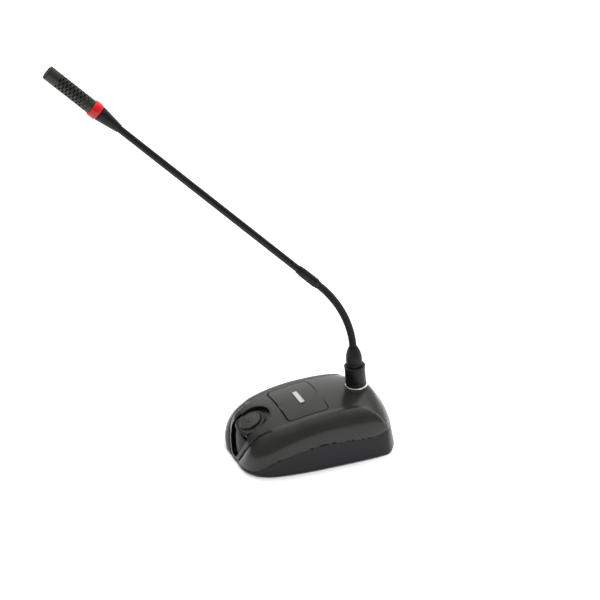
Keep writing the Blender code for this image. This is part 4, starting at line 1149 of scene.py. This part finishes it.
def area_light(name, place, target, size, power, tall=None):
    light = bpy.data.lights.new(name, "AREA")
    light.shape = "RECTANGLE"
    light.size = size
    light.size_y = tall or size
    light.energy = power
    made = bpy.data.objects.new(name, light)
    bpy.context.scene.collection.objects.link(made)
    made.location = place
    made.rotation_mode = "QUATERNION"
    made.rotation_quaternion = (Vector(target) - Vector(place)).to_track_quat("-Z", "Y")
    made.visible_glossy = False


def make_world():
    """A pale studio: brightest at the backdrop beyond the object, dim behind the camera."""
    world = bpy.data.worlds.new("studio")
    bpy.context.scene.world = world
    world.use_nodes = True
    nodes, links = world.node_tree.nodes, world.node_tree.links
    back = nodes["Background"]
    place = nodes.new("ShaderNodeTexCoord")
    toward = nodes.new("ShaderNodeVectorMath")
    toward.operation = "DOT_PRODUCT"
    toward.inputs[1].default_value = BACKDROP
    links.new(place.outputs["Generated"], toward.inputs[0])
    ramp = nodes.new("ShaderNodeValToRGB")
    ramp.color_ramp.elements[0].position = 0.0
    ramp.color_ramp.elements[0].color = (0.30, 0.305, 0.30, 1.0)
    ramp.color_ramp.elements[1].position = 0.85
    ramp.color_ramp.elements[1].color = (1.0, 0.995, 0.97, 1.0)
    middle = ramp.color_ramp.elements.new(0.45)
    middle.color = (0.55, 0.555, 0.56, 1.0)
    links.new(toward.outputs["Value"], ramp.inputs["Fac"])
    links.new(ramp.outputs["Color"], back.inputs["Color"])
    beside = nodes.new("ShaderNodeVectorMath")
    beside.operation = "DOT_PRODUCT"
    beside.inputs[1].default_value = DARK_SIDE
    links.new(place.outputs["Generated"], beside.inputs[0])
    fall = nodes.new("ShaderNodeMapRange")
    fall.inputs["From Min"].default_value = 0.70
    fall.inputs["From Max"].default_value = 0.96
    fall.inputs["To Min"].default_value = WORLD_STRENGTH
    fall.inputs["To Max"].default_value = 0.10
    links.new(beside.outputs["Value"], fall.inputs["Value"])
    links.new(fall.outputs["Result"], back.inputs["Strength"])


def make_camera():
    a, e = math.radians(VIEW_AZIMUTH), math.radians(VIEW_ELEVATION)
    back = Vector((math.sin(a) * math.cos(e), -math.cos(a) * math.cos(e), math.sin(e)))
    right = Vector((math.cos(a), math.sin(a), 0.0))
    up = back.cross(right)
    camera = bpy.data.cameras.new("camera")
    camera.lens = VIEW_LENS
    camera.sensor_width = 36.0
    camera.clip_start = 0.05
    made = bpy.data.objects.new("camera", camera)
    bpy.context.scene.collection.objects.link(made)
    turn = Matrix((right, up, back)).transposed().to_4x4()
    made.matrix_world = Matrix.Translation(back * VIEW_DISTANCE - right * VIEW_ASIDE + up * VIEW_ABOVE) @ turn
    bpy.context.scene.camera = made


make_floor()
make_world()
area_light("overhead", (-0.3, 0.2, 2.2), (0.0, 0.0, 0.0), 3.0, 90.0)
make_camera()
bpy.context.scene.view_settings.view_transform = "Standard"
